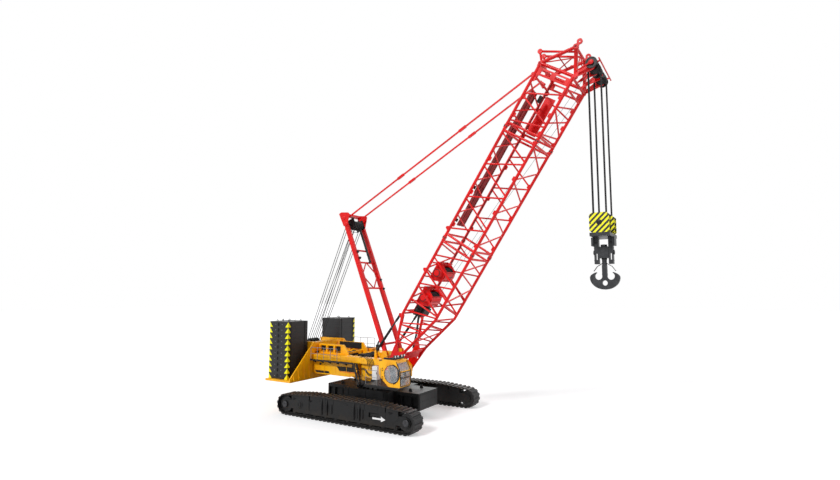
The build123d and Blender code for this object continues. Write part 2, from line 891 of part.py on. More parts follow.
def bent_chord(side, knee_x, h, plate_h, end_x):
    y = side * chord_y
    ux, uh, _ = leg_end(plate_end_x, plate_h, knee_x, h, 1)
    start = (plate_end_x + ux * seat, y, plate_h + uh * seat)
    body = rod(start, (knee_x, y, h), chord_radius) + rod((knee_x, y, h), (end_x, y, h), chord_radius)
    return body + Pos(knee_x, y, h) * Sphere(chord_radius)


def chord_lugs(body, side, h, x, out):
    y = side * chord_y
    return body + box(x, x - out * 150, y - 62, y + 62, h - lug_tall, h + lug_tall)


def chord_piece(side, h, x0, x1, lug0=True, lug1=True):
    body = rod((x0, side * chord_y, h), (x1, side * chord_y, h), chord_radius)
    body = chord_lugs(body, side, h, x0, -1) if lug0 else body
    return chord_lugs(body, side, h, x1, 1) if lug1 else body


base_end = joint_one - seat / 2
insert_start = joint_one + seat / 2
insert_end = joint_two - seat / 2
top_start = joint_two + seat / 2


def base_chords():
    made = []
    for side in (-1, 1):
        upper = bent_chord(side, knee_top, top_h, plate_top_h, base_end)
        lower = bent_chord(side, knee_bottom, bottom_h, plate_low_h, base_end)
        made.append(chord_lugs(upper, side, top_h, base_end, 1))
        made.append(chord_lugs(lower, side, bottom_h, base_end, 1))
    return made


def base_lacing():
    made = lace(right_low, right_top, [11040, 9900, 8700, 7400, knee_bottom + 260, knee_top + 240])
    made += lace(left_top, left_low, [11040, 9900, 8700, 7400, knee_top + 300])
    made += lace(left_top, right_top, [knee_top + 300, 6150, 7500, 8800, 10100, 11040])
    made += lace(left_low, right_low, [knee_bottom + 300, 7350, 8700, 10050, 11040])
    made += ring(joint_one - frame_pitch)
    made.append(brace(knee_top, right_top, knee_top, left_top, 70))
    made.append(brace(knee_bottom, right_low, knee_bottom, left_low, 60))
    return made


# Lacing of the tapered foot, with its ends coped to the legs
upper_leg = (knee_top, top_h, plate_top_h)
lower_leg = (knee_bottom, bottom_h, plate_low_h)
foot_brace_radius = 48


def leg_station(side, leg, x):
    knee_x, h, plate_h = leg
    share = (x - plate_end_x) / (knee_x - plate_end_x)
    return (x, side * chord_y, plate_h + (h - plate_h) * share)


def leg_clearance(side, leg):
    knee_x, h, plate_h = leg
    y = side * chord_y
    return rod((plate_end_x, y, plate_h), (knee_x, y, h), chord_radius + seat)


def foot_strut(side0, leg0, x0, side1, leg1, x1):
    body = rod(leg_station(side0, leg0, x0), leg_station(side1, leg1, x1), foot_brace_radius, 6)
    return body - leg_clearance(side0, leg0) - leg_clearance(side1, leg1)


def foot_lacing():
    made = []
    for side in (-1, 1):
        for x0, x1 in ((5450, 4060), (4600, 3950), (4500, 3400), (3400, 3300), (3200, 2700)):
            made.append(foot_strut(side, lower_leg, x0, side, upper_leg, x1))
    for side, x0, x1 in ((-1, 5300, 4500), (1, 4300, 3500), (-1, 3300, 2750)):
        made.append(foot_strut(side, lower_leg, x0, -side, lower_leg, x1))
    for side, x0, x1 in ((-1, 3950, 3400), (1, 3300, 2750)):
        made.append(foot_strut(side, upper_leg, x0, -side, upper_leg, x1))
    return made


save("boom_feet", foot_plates(), boom_place)
save("boom_base_chords", base_chords(), boom_place)
save("boom_base_lacing", [base_lacing(), foot_lacing()], boom_place)


def insert_lacing():
    half = nodes(first_node, joint_two - frame_pitch - 130)
    made = lace(right_top, right_low, half)
    made += lace(left_low, left_top, half)
    made += lace(right_low, left_low, half)
    made += lace(left_top, right_top, half)
    made += ring(joint_one + frame_pitch)
    made += ring(joint_two - frame_pitch)
    return made


save("boom_insert_chords", [chord_piece(side, h, insert_start, insert_end)
                            for side in (-1, 1) for h in (top_h, bottom_h)], boom_place)
save("boom_insert_lacing", insert_lacing(), boom_place)


def top_chords():
    return [chord_piece(side, h, top_start, boom_end) for side in (-1, 1) for h in (top_h, bottom_h)]


web_start = pendant_beam_x + 110
web_end = boom_end - 170


def end_web(side):
    low = bottom_h + chord_radius + seat
    high = top_h - chord_radius - seat
    body = slab_xz([(web_start, low), (web_end, low), (web_end, high), (web_start, high)],
                   side * (chord_y - 25), side * (chord_y + 25))
    middle = (low + high) / 2
    for z in (middle - 560, middle + 560):
        reach = chord_y + 35
        body -= box(web_start + 130, web_end - 110, side * (chord_y - 35), side * reach, z - 380, z + 380)
    return body


def top_lacing():
    node = [joint_two + 420, first_node + 3.5 * bay, first_node + 4 * bay, pendant_beam_x - 400]
    made = lace(right_top, right_low, node)
    made += lace(left_low, left_top, node)
    made += lace(right_low, left_low, node)
    made += lace(left_top, right_top, node)
    made += ring(joint_two + frame_pitch)
    made.append(brace(pendant_beam_x, right_top, pendant_beam_x, left_top, beam_radius))
    made.append(brace(end_beam_x, right_top, end_beam_x, left_top, beam_radius))
    made.append(brace(pendant_beam_x, right_low, pendant_beam_x, left_low, 70))
    made.append(brace(low_beam_x, right_low, low_beam_x, left_low, low_beam_radius))
    made += [end_web(-1), end_web(1)]
    return made


beam_radius = 80
end_beam_x = boom_end - 30
low_beam_x = boom_end - 60
low_beam_radius = 90
save("boom_top_chords", top_chords(), boom_place)
save("boom_top_lacing", top_lacing(), boom_place)

# Lugs on the knee for the backstop rods
def stop_lugs():
    made = []
    for side in (-1, 1):
        y0 = side * (stop_y + rod_radius + side_gap)
        y1 = side * (chord_y - chord_radius - seat)
        x = stop_top_x
        h = stop_top_h
        shape = [(x - 350, top_h - 300), (x + 190, top_h - 120), (x + 190, top_h + 40),
                 (x + 70, h + 80), (x - 70, h + 80), (x - 250, top_h - 50)]
        made.append(slab_xz(shape, y0, y1) - disc_y(x, h, 40, y0 - side * 10, y1 + side * 10))
    return made


# Boom tip: side triangles, a raised frame with two lugs, plates to the sheave axle, sheaves and guard
peak_x = boom_end + 1930
peak_h = bottom_h + 1048
peak_radius = 150
tri_y = 1250
tri_radius = 95
front_radius = 110
tri_knuckle = 105
beam_flat = top_h + beam_radius * math.sin(math.radians(60))
crown_x = end_beam_x + beam_radius + 100
crown_h = beam_flat + seat + tri_knuckle
foot_front_x = low_beam_x + low_beam_radius + seat + tri_knuckle
raised_y = 430
raised_half = 30
raised_radius = 58
tip_lug_x = boom_end + 1080
tip_lug_h = top_h + 1060
tip_lug_radius = 55
cross_radius = 70
axle_radius = 95
tip_plate_half = 45
fall_half = fall_pitch * falls_each / 2
inner_plate_y = 470
mid_plate_y = 1385
outer_sheave_y = 1790
guard_x = tip_x + 370
guard_h = tip_h - 374
tip_half = 1990


def bar(p, q, y, radius):
    return rod((p[0], y, p[1]), (q[0], y, q[1]), radius)


def side_triangle(side):
    y = side * tri_y
    crown = (crown_x, crown_h)
    peak = (peak_x, peak_h)
    foot = (foot_front_x, bottom_h)
    low = beam_flat + seat
    body = disc_y(peak_x, peak_h, peak_radius, y - 115, y + 115)
    body += bar(crown, peak, y, tri_radius)
    body += bar(foot, peak, y, front_radius)
    body += disc_y(foot_front_x, bottom_h, tri_knuckle, y - 90, y + 90)
    body += disc_y(crown_x, crown_h, tri_knuckle, y - 85, y + 85)
    body += bar(crown, foot, y, tri_radius - 15)
    shoe = [(end_beam_x - 80, low), (end_beam_x + 60, low), (crown_x, crown_h - 60), (crown_x, crown_h + 60)]
    body += slab_xz(shoe, y - 60, y + 60)
    ring_x = peak_x + 400
    ring_h = peak_h - 40
    body += box(peak_x, ring_x, y - 40, y + 40, peak_h - 110, peak_h + 70)
    body += disc_y(ring_x, ring_h, 170, y - 40, y + 40)
    return body - disc_y(ring_x, ring_h, 85, y - 50, y + 50)


def raised_frame(side):
    y = side * raised_y
    lug = (tip_lug_x, tip_lug_h)
    low = beam_flat + seat
    body = bar((end_beam_x, low + 90), lug, y, raised_radius) + bar((peak_x, peak_h), lug, y, raised_radius)
    body += box(end_beam_x - 80, end_beam_x + 60, y - 60, y + 60, low, low + 150)
    body += disc_y(tip_lug_x, tip_lug_h, 160, y - raised_half, y + raised_half)
    for end in (-1, 1):
        body -= disc_y(tip_lug_x, tip_lug_h, 170, y + end * raised_half, y + end * 90)
    body -= disc_y(peak_x, peak_h, cross_radius + seat, y - 90, y + 90)
    return body - disc_y(tip_lug_x, tip_lug_h, tip_lug_radius, y - 90, y + 90)


def tip_frame():
    made = [side_triangle(-1), side_triangle(1), raised_frame(-1), raised_frame(1)]
    reach = tri_y - 115 - seat
    made.append(disc_y(peak_x, peak_h, cross_radius, -reach, reach))
    return made


def tip_plates():
    made = []
    hole = axle_radius + seat
    nose = [(tip_x - 230, tip_h - 224), (tip_x + 170, tip_h - 224), (tip_x + 170, tip_h + 166),
            (tip_x - 50, tip_h + 246)]
    for side in (-1, 1):
        rear = boom_end + seat
        shape = [(rear, bottom_h + 118), (rear, bottom_h - 118)] + nose
        y0 = side * (chord_y - tip_plate_half)
        y1 = side * (chord_y + tip_plate_half)
        made.append(slab_xz(shape, y0, y1) - disc_y(tip_x, tip_h, hole, y0 - side * 10, y1 + side * 10))
        rear = low_beam_x + low_beam_radius + seat
        shape = [(rear, bottom_h + 60), (rear, bottom_h - 60)] + nose
        for y in (inner_plate_y, mid_plate_y):
            y0 = side * y
            y1 = side * (y + 60)
            made.append(slab_xz(shape, y0, y1) - disc_y(tip_x, tip_h, hole, y0 - side * 10, y1 + side * 10))
    return made


def tip_sheaves():
    made = []
    spans = [(0, 55), (fall_y, fall_half), (1270, 60), (outer_sheave_y, 60)]
    for y, half in spans:
        for side in ((-1, 1) if y else (1,)):
            made.append(disc_y(tip_x, tip_h, tip_radius, side * y - half, side * y + half))
    for near, far in zip(spans, spans[1:]):
        for side in (-1, 1):
            y0 = side * (near[0] + near[1] + seat)
            y1 = side * (far[0] - far[1] - seat)
            made.append(disc_y(tip_x, tip_h, axle_radius, y0, y1))
    return made


def tip_guard():
    body = disc_y(guard_x, guard_h, 45, -tip_half, tip_half)
    front = tip_x + 170 + seat
    shape = [(front, tip_h - 34), (front, tip_h - 184), (guard_x - 40, guard_h - 20),
             (guard_x + 20, guard_h + 40)]
    for side in (-1, 1):
        body += slab_xz(shape, side * (chord_y - tip_plate_half), side * (chord_y + tip_plate_half))
    return body


save("tip_frame", tip_frame(), boom_place)
save("tip_plates", tip_plates(), boom_place)
save("tip_sheaves", tip_sheaves(), boom_place)
save("tip_guard", tip_guard(), boom_place)

# Winches hung under the top face of the base section
winch_drop = 640
winch_drum_radius = 400
winch_flange_radius = 500
winch_beam_reach = winch_flange_radius + 100
winch_beam_radius = 60
winch_beam_end = chord_y - brace_radius - 1
chord_dip = math.sqrt(chord_radius ** 2 - (chord_y - winch_beam_end) ** 2)
winch_beam_h = top_h - chord_dip - seat - winch_beam_radius


def boom_winch(x):
    h = top_h - winch_drop
    made = [disc_y(x, h, winch_drum_radius, -700, 560)]
    made.append(disc_y(x, h, winch_flange_radius, -700 - seat, -760))
    made.append(disc_y(x, h, winch_flange_radius, 560 + seat, 620))
    made.append(disc_y(x, h, 300, -760 - seat, -1160))
    return made


def winch_beams(x):
    made = []
    h = top_h - winch_drop
    for dx in (-winch_beam_reach, winch_beam_reach):
        made.append(rod((x + dx, -winch_beam_end, winch_beam_h), (x + dx, winch_beam_end, winch_beam_h),
                        winch_beam_radius))
    low = winch_beam_h - winch_beam_radius - seat
    for y in (-810, 670):
        wide = winch_beam_reach + 60
        shape = [(x - wide, low), (x + wide, low), (x + wide, low - 260), (x + 330, h - 420),
                 (x - 330, h - 420), (x - wide, low - 260)]
        made.append(slab_xz(shape, y - 40, y + 40) - disc_y(x, h, 300 + seat, y - 50, y + 50))
    return made


winch_places = (8800, 6600)
save("boom_winch_drums", [boom_winch(x) for x in winch_places], boom_place)
save("boom_winch_beams", [winch_beams(x) for x in winch_places], boom_place)

# Spare stay bars stowed along the top face, on the lacing
bar_low = top_h + brace_radius * math.sin(math.radians(60)) + seat
bar_start = joint_one + 1100
bar_end = pendant_beam_x - 670


def stowed_bars():
    made = []
    for y in (-430, -170, 170, 430):
        made.append(box(bar_start, bar_end, y - 45, y + 45, bar_low, bar_low + 150))
        for x in (bar_start + 2750, bar_end - 3400):
            made.append(box(x, x + 700, y - 70, y + 70, bar_low + 150 + seat, bar_low + 190))
    return made


save("stowed_bars", stowed_bars(), boom_place)
panel_face = chord_y - brace_radius * math.sin(math.radians(60)) - seat
panel_start = joint_two + 430
panel = box(panel_start, panel_start + 3000, panel_face - 25, panel_face, 300, 1100)
save("boom_panel", panel, boom_place)

# Lugs that hold the pendants at the boom end
pendant_pin = 60
lug_low = beam_flat + seat


def pendant_lug(side):
    inner = pendant_y - pendant_half - side_gap
    outer = pendant_y + pendant_half + side_gap
    rear = pendant_beam_x - 120
    front = pendant_beam_x + 260
    body = box(rear, front, side * (inner - 50), side * (outer + 50), lug_low, lug_low + 60)
    shape = [(rear, lug_low + 55), (front, lug_low + 55), (pendant_x + 110, pendant_h),
             (pendant_x - 110, pendant_h)]
    for y0, y1 in ((inner - 50, inner), (outer, outer + 50)):
        body += slab_xz(shape, side * y0, side * y1)
        body += disc_y(pendant_x, pendant_h, 110, side * y0, side * y1)
    return body + disc_y(pendant_x, pendant_h, pendant_pin, side * (inner - 60), side * (outer + 60))


save("boom_lugs", [stop_lugs(), pendant_lug(-1), pendant_lug(1)], boom_place)

stay_top = boom_world(pendant_x, pendant_h)
stay_low = mast_world(mast_length, 0)
stay_length = math.dist(stay_top, stay_low)
stay_tilt = math.degrees(math.atan2(stay_low[2] - stay_top[2], stay_low[0] - stay_top[0]))
stay_place = Location(stay_top, (0, -stay_tilt, 0))


def pendant(side):
    y0 = side * (pendant_y - pendant_half)
    y1 = side * (pendant_y + pendant_half)
    body = box(60, stay_length - 60, y0, y1, -65, 65)
    body += disc_y(0, 0, 135, y0, y1) + disc_y(stay_length, 0, 135, y0, y1)
    for k in (1, 2):
        x = stay_length * k / 3
        body += box(x - 330, x + 330, y0 - side * 28, y1 + side * 28, -100, 100)
    body -= disc_y(0, 0, pendant_pin + pin_gap, y0 - side * 40, y1 + side * 40)
    pin_end = side * (mast_y - 60 - side_gap)
    return body + disc_y(stay_length, 0, 58, y0 - side * 30, pin_end)


save("pendants", [pendant(-1), pendant(1)], stay_place)

# Hook block, in the object's own frame, its sheaves plumb under the tip sheaves
tip = boom_world(tip_x, tip_h)
hang_x = tip[0]
fall_reach = tip_radius + rope_radius + seat


def falls():
    made = []
    for side in (-1, 1):
        for k in range(falls_each):
            y = side * fall_y + (k - (falls_each - 1) / 2) * fall_pitch
            for end in (-1, 1):
                x = hang_x + end * fall_reach
                made.append(rod((x, y, block_z), (x, y, tip[2]), rope_radius, 8))
    return made


save("hoist_falls", falls())
cheek_low = block_z - 640
cheek_top = block_z + 630
cheek_half = 610
cheek_corner = 150
cheek_in = fall_y - fall_half - 25
cheek_out = fall_y + fall_half + 35


def block_cheeks():
    made = []
    z0 = cheek_low
    z1 = cheek_top
    right = [(hang_x + cheek_half - cheek_corner, z0), (hang_x + cheek_half, z0 + cheek_corner),
             (hang_x + cheek_half, z1 - cheek_corner), (hang_x + cheek_half - cheek_corner, z1)]
    left = [(2 * hang_x - x, z) for x, z in reversed(right)]
    for side in (-1, 1):
        made.append(slab_xz(right + left, side * (cheek_in - 40), side * cheek_in))
        made.append(slab_xz(right + left, side * cheek_out, side * (cheek_out + 50)))
    return made


def block_sheaves():
    made = []
    for side in (-1, 1):
        body = disc_y(hang_x, block_z, tip_radius, side * (fall_y - fall_half), side * (fall_y + fall_half))
        made.append(body + disc_y(hang_x, block_z, 100, side * (cheek_in + seat), side * (cheek_out - seat)))
    return made


shank_radius = 150
hanger_in = 300
hanger_out = 580
hanger_half = 200
head_plate = 220


def block_frame():
    top = cheek_low - seat
    wide = cheek_out + 50
    made = [box(hang_x - cheek_half, hang_x + cheek_half, -wide, wide, top - head_plate, top)]
    low = hook_hole_z + 1220
    for end in (-1, 1):
        x0 = hang_x + end * hanger_in
        x1 = hang_x + end * hanger_out
        body = box(x0, x1, -hanger_half, hanger_half, low, top - head_plate - seat)
        wide = hanger_half + 160
        body += box(x1 - end * 5, x1 + end * 140, -wide, wide, trunnion_z + 420, top - head_plate - seat)
        middle = (x0 + x1) / 2
        deep = hanger_half + 10
        body -= box(middle - 60, middle + 60, -deep, deep, trunnion_z - 480, trunnion_z - 60)
        made.append(body)
    reach = hanger_in - seat
    body = box(hang_x - reach, hang_x + reach, -230, 230, trunnion_z - 370, trunnion_z + 370)
    body -= rod((hang_x, 0, trunnion_z - 400), (hang_x, 0, trunnion_z + 400), shank_radius + pin_gap)
    made.append(body)
    return made


save("block_cheeks", block_cheeks())
save("block_sheaves", block_sheaves())
save("block_frame", block_frame())
horn_x = 380
horn_z = hook_hole_z + 440
throat_radius = 235
bowl_half = 920
bowl_z = hook_hole_z + 350
bowl_drop = 770
bowl_rise = 420
tip_gap = 500
nut_height = 110


def half_ring(rise, steps):
    turns = [math.pi * k / steps for k in range(steps + 1)]
    return [(hang_x + bowl_half * math.cos(a), bowl_z + rise * math.sin(a)) for a in turns]


def ramshorn():
    low = half_ring(-bowl_drop, 24)
    high = half_ring(bowl_rise, 24)
    body = slab_xz(low + list(reversed(high))[1:-1], -hook_half, hook_half)
    for end in (-1, 1):
        x = hang_x + end * horn_x
        body -= box(hang_x, hang_x + end * tip_gap, -200, 200, horn_z, horn_z + 600)
        body -= disc_y(x, horn_z, throat_radius, -200, 200)
    neck_top = horn_z + 720
    neck = [(150, neck_top), (150, horn_z + 200), (horn_x - throat_radius + 20, horn_z), (240, bowl_z - 150)]
    shape = neck + [(-x, z) for x, z in reversed(neck)]
    column = slab_xz([(hang_x + x, z) for x, z in shape], -hook_half, hook_half)
    for end in (-1, 1):
        column -= disc_y(hang_x + end * horn_x, horn_z, throat_radius, -200, 200)
    body += column
    nut_z = trunnion_z + 370 + seat
    body += rod((hang_x, 0, neck_top - 60), (hang_x, 0, nut_z + nut_height), shank_radius)
    body += rod((hang_x, 0, nut_z), (hang_x, 0, nut_z + nut_height), 200, 6)
    return body - disc_y(hang_x, hook_hole_z, hook_hole_radius, -200, 200)


save("ramshorn_hook", ramshorn())

# Backstops: barrels on the frame and rods to the boom's knees
stop_top = boom_world(stop_top_x, stop_top_h)
stop_length = math.dist((stop_x, 0, stop_z), stop_top)
stop_tilt = math.degrees(math.atan2(stop_top[2] - stop_z, stop_top[0] - stop_x))
stop_place = Location((stop_x, 0, stop_z), (0, -stop_tilt, 0))


def stop_barrels():
    made = []
    for side in (-1, 1):
        y = side * stop_y
        body = rod((210, y, 0), (barrel_length, y, 0), barrel_radius)
        body += disc_y(0, 0, 95, y - stop_eye_half, y + stop_eye_half)
        body += box(0, 230, y - stop_eye_half, y + stop_eye_half, -70, 70)
        body -= rod((330, y, 0), (barrel_length + 10, y, 0), rod_radius + seat)
        body -= disc_y(0, 0, stop_pin_radius + pin_gap, y - 100, y + 100)
        made.append(body)
    return made


def stop_rods():
    made = []
    for side in (-1, 1):
        y = side * stop_y
        body = rod((stop_length - rod_length, y, 0), (stop_length - 50, y, 0), rod_radius)
        body += disc_y(stop_length, 0, 85, y - 30, y + 30)
        body -= disc_y(stop_length, 0, 40, y - 60, y + 60)
        made.append(body)
    return made


save("backstop_barrels", stop_barrels(), stop_place)
save("backstop_rods", stop_rods(), stop_place)
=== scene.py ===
import bpy
import math
import numpy as np
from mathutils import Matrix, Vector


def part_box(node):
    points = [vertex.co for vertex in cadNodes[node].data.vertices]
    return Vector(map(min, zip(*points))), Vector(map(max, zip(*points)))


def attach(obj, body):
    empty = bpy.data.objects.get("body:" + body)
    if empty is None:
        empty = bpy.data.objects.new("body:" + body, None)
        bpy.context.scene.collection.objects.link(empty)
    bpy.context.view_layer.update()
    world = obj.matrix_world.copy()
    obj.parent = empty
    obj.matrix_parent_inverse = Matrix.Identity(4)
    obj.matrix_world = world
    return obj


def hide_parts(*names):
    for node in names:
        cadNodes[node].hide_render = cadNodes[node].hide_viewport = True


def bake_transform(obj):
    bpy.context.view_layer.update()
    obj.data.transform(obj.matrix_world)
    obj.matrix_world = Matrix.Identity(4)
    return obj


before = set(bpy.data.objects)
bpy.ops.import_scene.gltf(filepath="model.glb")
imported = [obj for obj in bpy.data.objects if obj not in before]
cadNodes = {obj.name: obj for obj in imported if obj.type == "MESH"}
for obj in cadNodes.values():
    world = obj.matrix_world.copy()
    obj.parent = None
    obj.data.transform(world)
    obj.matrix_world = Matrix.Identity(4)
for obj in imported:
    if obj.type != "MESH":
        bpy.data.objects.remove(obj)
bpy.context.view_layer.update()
print("stage: frame loaded")

# Camera at the photograph's place
cameraSet = {"place": (23.968, -33.553, 9.505), "turn": 31.193, "lift": 5.941, "lens": 21.22, "far": 600.0}
camData = bpy.data.cameras.new("photoCamera")
camData.lens = cameraSet["lens"]
camData.sensor_width = 36.0
camData.clip_end = cameraSet["far"]
camera = bpy.data.objects.new("photoCamera", camData)
camera.location = cameraSet["place"]
camera.rotation_euler = (math.radians(90 + cameraSet["lift"]), 0, math.radians(cameraSet["turn"]))
bpy.context.scene.collection.objects.link(camera)
bpy.context.scene.camera = camera


def sign(operation, swapped=False):
    # one of Python's signs as a Math node; swapped is for a number on its left
    def act(self, other=None):
        first, second = (other, self) if swapped else (self, other)
        return self.sheet.calc(operation, first, second)
    return act


# A shader socket that takes part in Python sums; numbers alone stay numbers
class Sock:
    __add__, __radd__ = sign("ADD"), sign("ADD", True)
    __sub__, __rsub__ = sign("SUBTRACT"), sign("SUBTRACT", True)
    __mul__, __rmul__ = sign("MULTIPLY"), sign("MULTIPLY", True)
    __truediv__, __mod__, __abs__ = sign("DIVIDE"), sign("FLOORED_MODULO"), sign("ABSOLUTE")
    __gt__, __lt__ = sign("GREATER_THAN"), sign("LESS_THAN")

    def __init__(self, sheet, out):
        self.sheet = sheet
        self.out = out

    def clip(self):
        return self.sheet.node("ShaderNodeClamp", {}, {"Value": self})


# The node sheet of one material, or of the world: every node comes from the method node
class Sheet:
    def __init__(self, name, world=False):
        self.owner = (bpy.data.worlds if world else bpy.data.materials).new(name)
        self.outlet = "ShaderNodeOutputWorld" if world else "ShaderNodeOutputMaterial"
        self.owner.use_nodes = True
        self.tree = self.owner.node_tree
        self.tree.nodes.clear()

    def node(self, kind, settings=None, values=None, out=0):
        made = self.tree.nodes.new(kind)
        for key, value in (settings or {}).items():
            setattr(made, key, value)
        for key, value in (values or {}).items():
            socket = made.inputs[key]
            if isinstance(value, Sock):
                self.tree.links.new(value.out, socket)
            elif value is not None:
                short = isinstance(value, tuple) and len(value) == 3 and len(socket.default_value) == 4
                socket.default_value = (*value, 1) if short else value
        return Sock(self, made.outputs[out])

    def place(self):
        return self.node("ShaderNodeTexCoord", out="Object")

    def axes(self, where):
        split = self.node("ShaderNodeSeparateXYZ", {}, {0: where}).out.node
        return [Sock(self, split.outputs[k]) for k in range(3)]

    def stretch(self, where, scale):
        return self.node("ShaderNodeMapping", {}, {"Vector": where, "Scale": scale})

    def noise(self, where, scale, detail=3.0, rough=0.5):
        values = {"Vector": where, "Scale": scale, "Detail": detail, "Roughness": rough}
        return self.node("ShaderNodeTexNoise", {}, values)

    def ramp(self, value, low, high):
        values = {"Value": value, "From Min": low, "From Max": high}
        return self.node("ShaderNodeMapRange", {"interpolation_type": "SMOOTHSTEP"}, values)

    def patches(self, where, scale, detail, rough, low, high):
        return self.ramp(self.noise(where, scale, detail, rough), low, high)

    def mix(self, factor, first, second):
        return self.node("ShaderNodeMix", {"data_type": "RGBA"}, {0: factor, 6: first, 7: second}, out=2)

    def bump(self, height, strength, distance):
        values = {"Height": height, "Strength": strength, "Distance": distance}
        return self.node("ShaderNodeBump", {}, values)

    def calc(self, operation, first, second=None):
        values = {0: first} if second is None else {0: first, 1: second}
        return self.node("ShaderNodeMath", {"operation": operation}, values)

    def greater(self, first, second):
        return self.calc("MAXIMUM", first, second)

    def rays(self, *names):
        # 1 where the ray is of one of the kinds named
        path = self.node("ShaderNodeLightPath").out.node
        kinds = [Sock(self, path.outputs[name]) for name in names]
        seen = kinds[0]
        for kind in kinds[1:]:
            seen = self.greater(seen, kind)
        return seen

    def close(self, shader):
        end = self.tree.nodes.new(self.outlet)
        self.tree.links.new(shader.out, end.inputs["Surface"])
        return self.owner

    def finish(self, colour, rough, metal=0.0, normal=None, **more):
        values = {"Base Color": colour, "Roughness": rough, "Metallic": metal, "Normal": normal}
        values.update({key.replace("_", " "): value for key, value in more.items()})
        return self.close(self.node("ShaderNodeBsdfPrincipled", {}, values))


def linear(colour):
    # sRGB to linear: c / 12.92 below 0.04045, else ((c + 0.055) / 1.055) ** 2.4
    c = np.asarray(colour, float)
    return tuple(float(v) for v in np.where(c <= 0.04045, c / 12.92, ((c + 0.055) / 1.055) ** 2.4))


# Colours that several finishes share
toneSet = {"black": (0.045, 0.046, 0.05), "grime": (0.22, 0.18, 0.13), "hazard": (0.97, 0.95, 0.05),
           # the first tone on the next line is the brown of a painted reflection of the yellow body on the
           # belts' tops
           "paintedReflection": (0.36, 0.23, 0.09), "weight": (0.125, 0.125, 0.13), "bloom": (0.20, 0.20, 0.21),
           # the pale pane tone on the next line is a painted reflection on the cab glass
           "paneReflection": (0.74, 0.76, 0.78)}
tone = {key: linear(value) for key, value in toneSet.items()}


def painted(name, colour, dull, rough, streak, chips, low, coat, gloss):
    # sprayed paint: broad fading, rain streaks down z, small chips and settled dust
    sheet = Sheet(name)
    where = sheet.place()
    fade = sheet.patches(where, 0.9, 4.0, 0.55, 0.35, 0.75)
    runs = sheet.patches(sheet.stretch(where, (5.0, 5.0, 0.45)), 1.6, 5.0, 0.6, 0.48, 0.78)
    speck = sheet.patches(where, 38.0, 2.0, 0.6, 0.66, 0.72)
    wide = sheet.patches(where, 3.2, 4.0, 0.6, 0.55, 0.8)
    base = sheet.mix((fade * 0.35 + runs * streak).clip(), linear(colour), linear(dull))
    base = sheet.mix((speck * wide * chips * 4.0).clip(), base, tone["grime"])
    if low > 0:
        dust = sheet.ramp(sheet.axes(where)[2], low, 0.0) * sheet.patches(where, 2.1, 5.0, 0.65, 0.3, 0.75)
        base = sheet.mix((dust * 0.6).clip(), base, tone["grime"])
    shine = (rough + fade * 0.10 + runs * 0.12 + speck * 0.2).clip()
    skin = sheet.noise(where, 90.0, 2.0, 0.5) * 0.3 + sheet.noise(where, 7.0, 3.0, 0.5)
    return sheet.finish(base, shine, 0.0, sheet.bump(skin, 0.12, 0.004), Coat_Weight=coat,
                        Coat_Roughness=0.12, Specular_IOR_Level=gloss)


def castSteel(name, shade, rough, grain, soilAndReflection, metal, high=2.0):
    # rough cast or forged steel: grain bump, bare patches, soil low down and a brown painted reflection of the
    # yellow body on the belts' tops
    sheet = Sheet(name)
    where = sheet.place()
    z = sheet.axes(where)[2]
    colour = linear(shade)
    coarse = sheet.noise(where, grain, 3.0, 0.6)
    patch = sheet.patches(where, 4.0, 5.0, 0.62, 0.42, 0.72)
    mud = sheet.patches(where, 6.0, 6.0, 0.7, 0.42, 0.7) * sheet.ramp(z, high, 0.0)
    base = sheet.mix((patch * 0.45).clip(), colour, tuple(min(1.0, c * 2.1 + 0.02) for c in colour))
    base = sheet.mix((mud * soilAndReflection * 2.0).clip(), base, tone["grime"])
    # painted reflection: the belts' top run is tinted brown where the yellow body would be reflected
    paintedReflection = sheet.ramp(z, 1.30, 1.75) * sheet.ramp(z, 2.4, 2.2) * patch
    base = sheet.mix((paintedReflection * soilAndReflection * 3.5).clip(), base, tone["paintedReflection"])
    return sheet.finish(base, (rough + patch * 0.12 + mud * 0.25).clip(), (metal - mud * metal).clip(),
                        sheet.bump(coarse + patch * 0.5, 0.35, 0.006))


def ropeFinish(name, shade, lay):
    # stranded rope: a sloping ripple round the axis, read from the piece's own UV map
    sheet = Sheet(name)
    colour = linear(shade)
    u, v = sheet.axes(sheet.node("ShaderNodeUVMap", {"uv_map": "lay"}))[:2]
    strand = sheet.ramp(sheet.calc("SINE", (u * 6.0 + v / lay) * 6.28318), -1.0, 0.4)
    grease = sheet.patches(sheet.place(), 9.0, 4.0, 0.6, 0.4, 0.7)
    # painted shade: the grooves between the strands are coloured a quarter darker
    base = sheet.mix((strand * 0.75).clip(), tuple(c * 0.75 for c in colour), colour)
    return sheet.finish(base, (0.55 + grease * 0.2).clip(), 0.0, sheet.bump(strand, 0.35, 0.005),
                        Specular_IOR_Level=0.3)


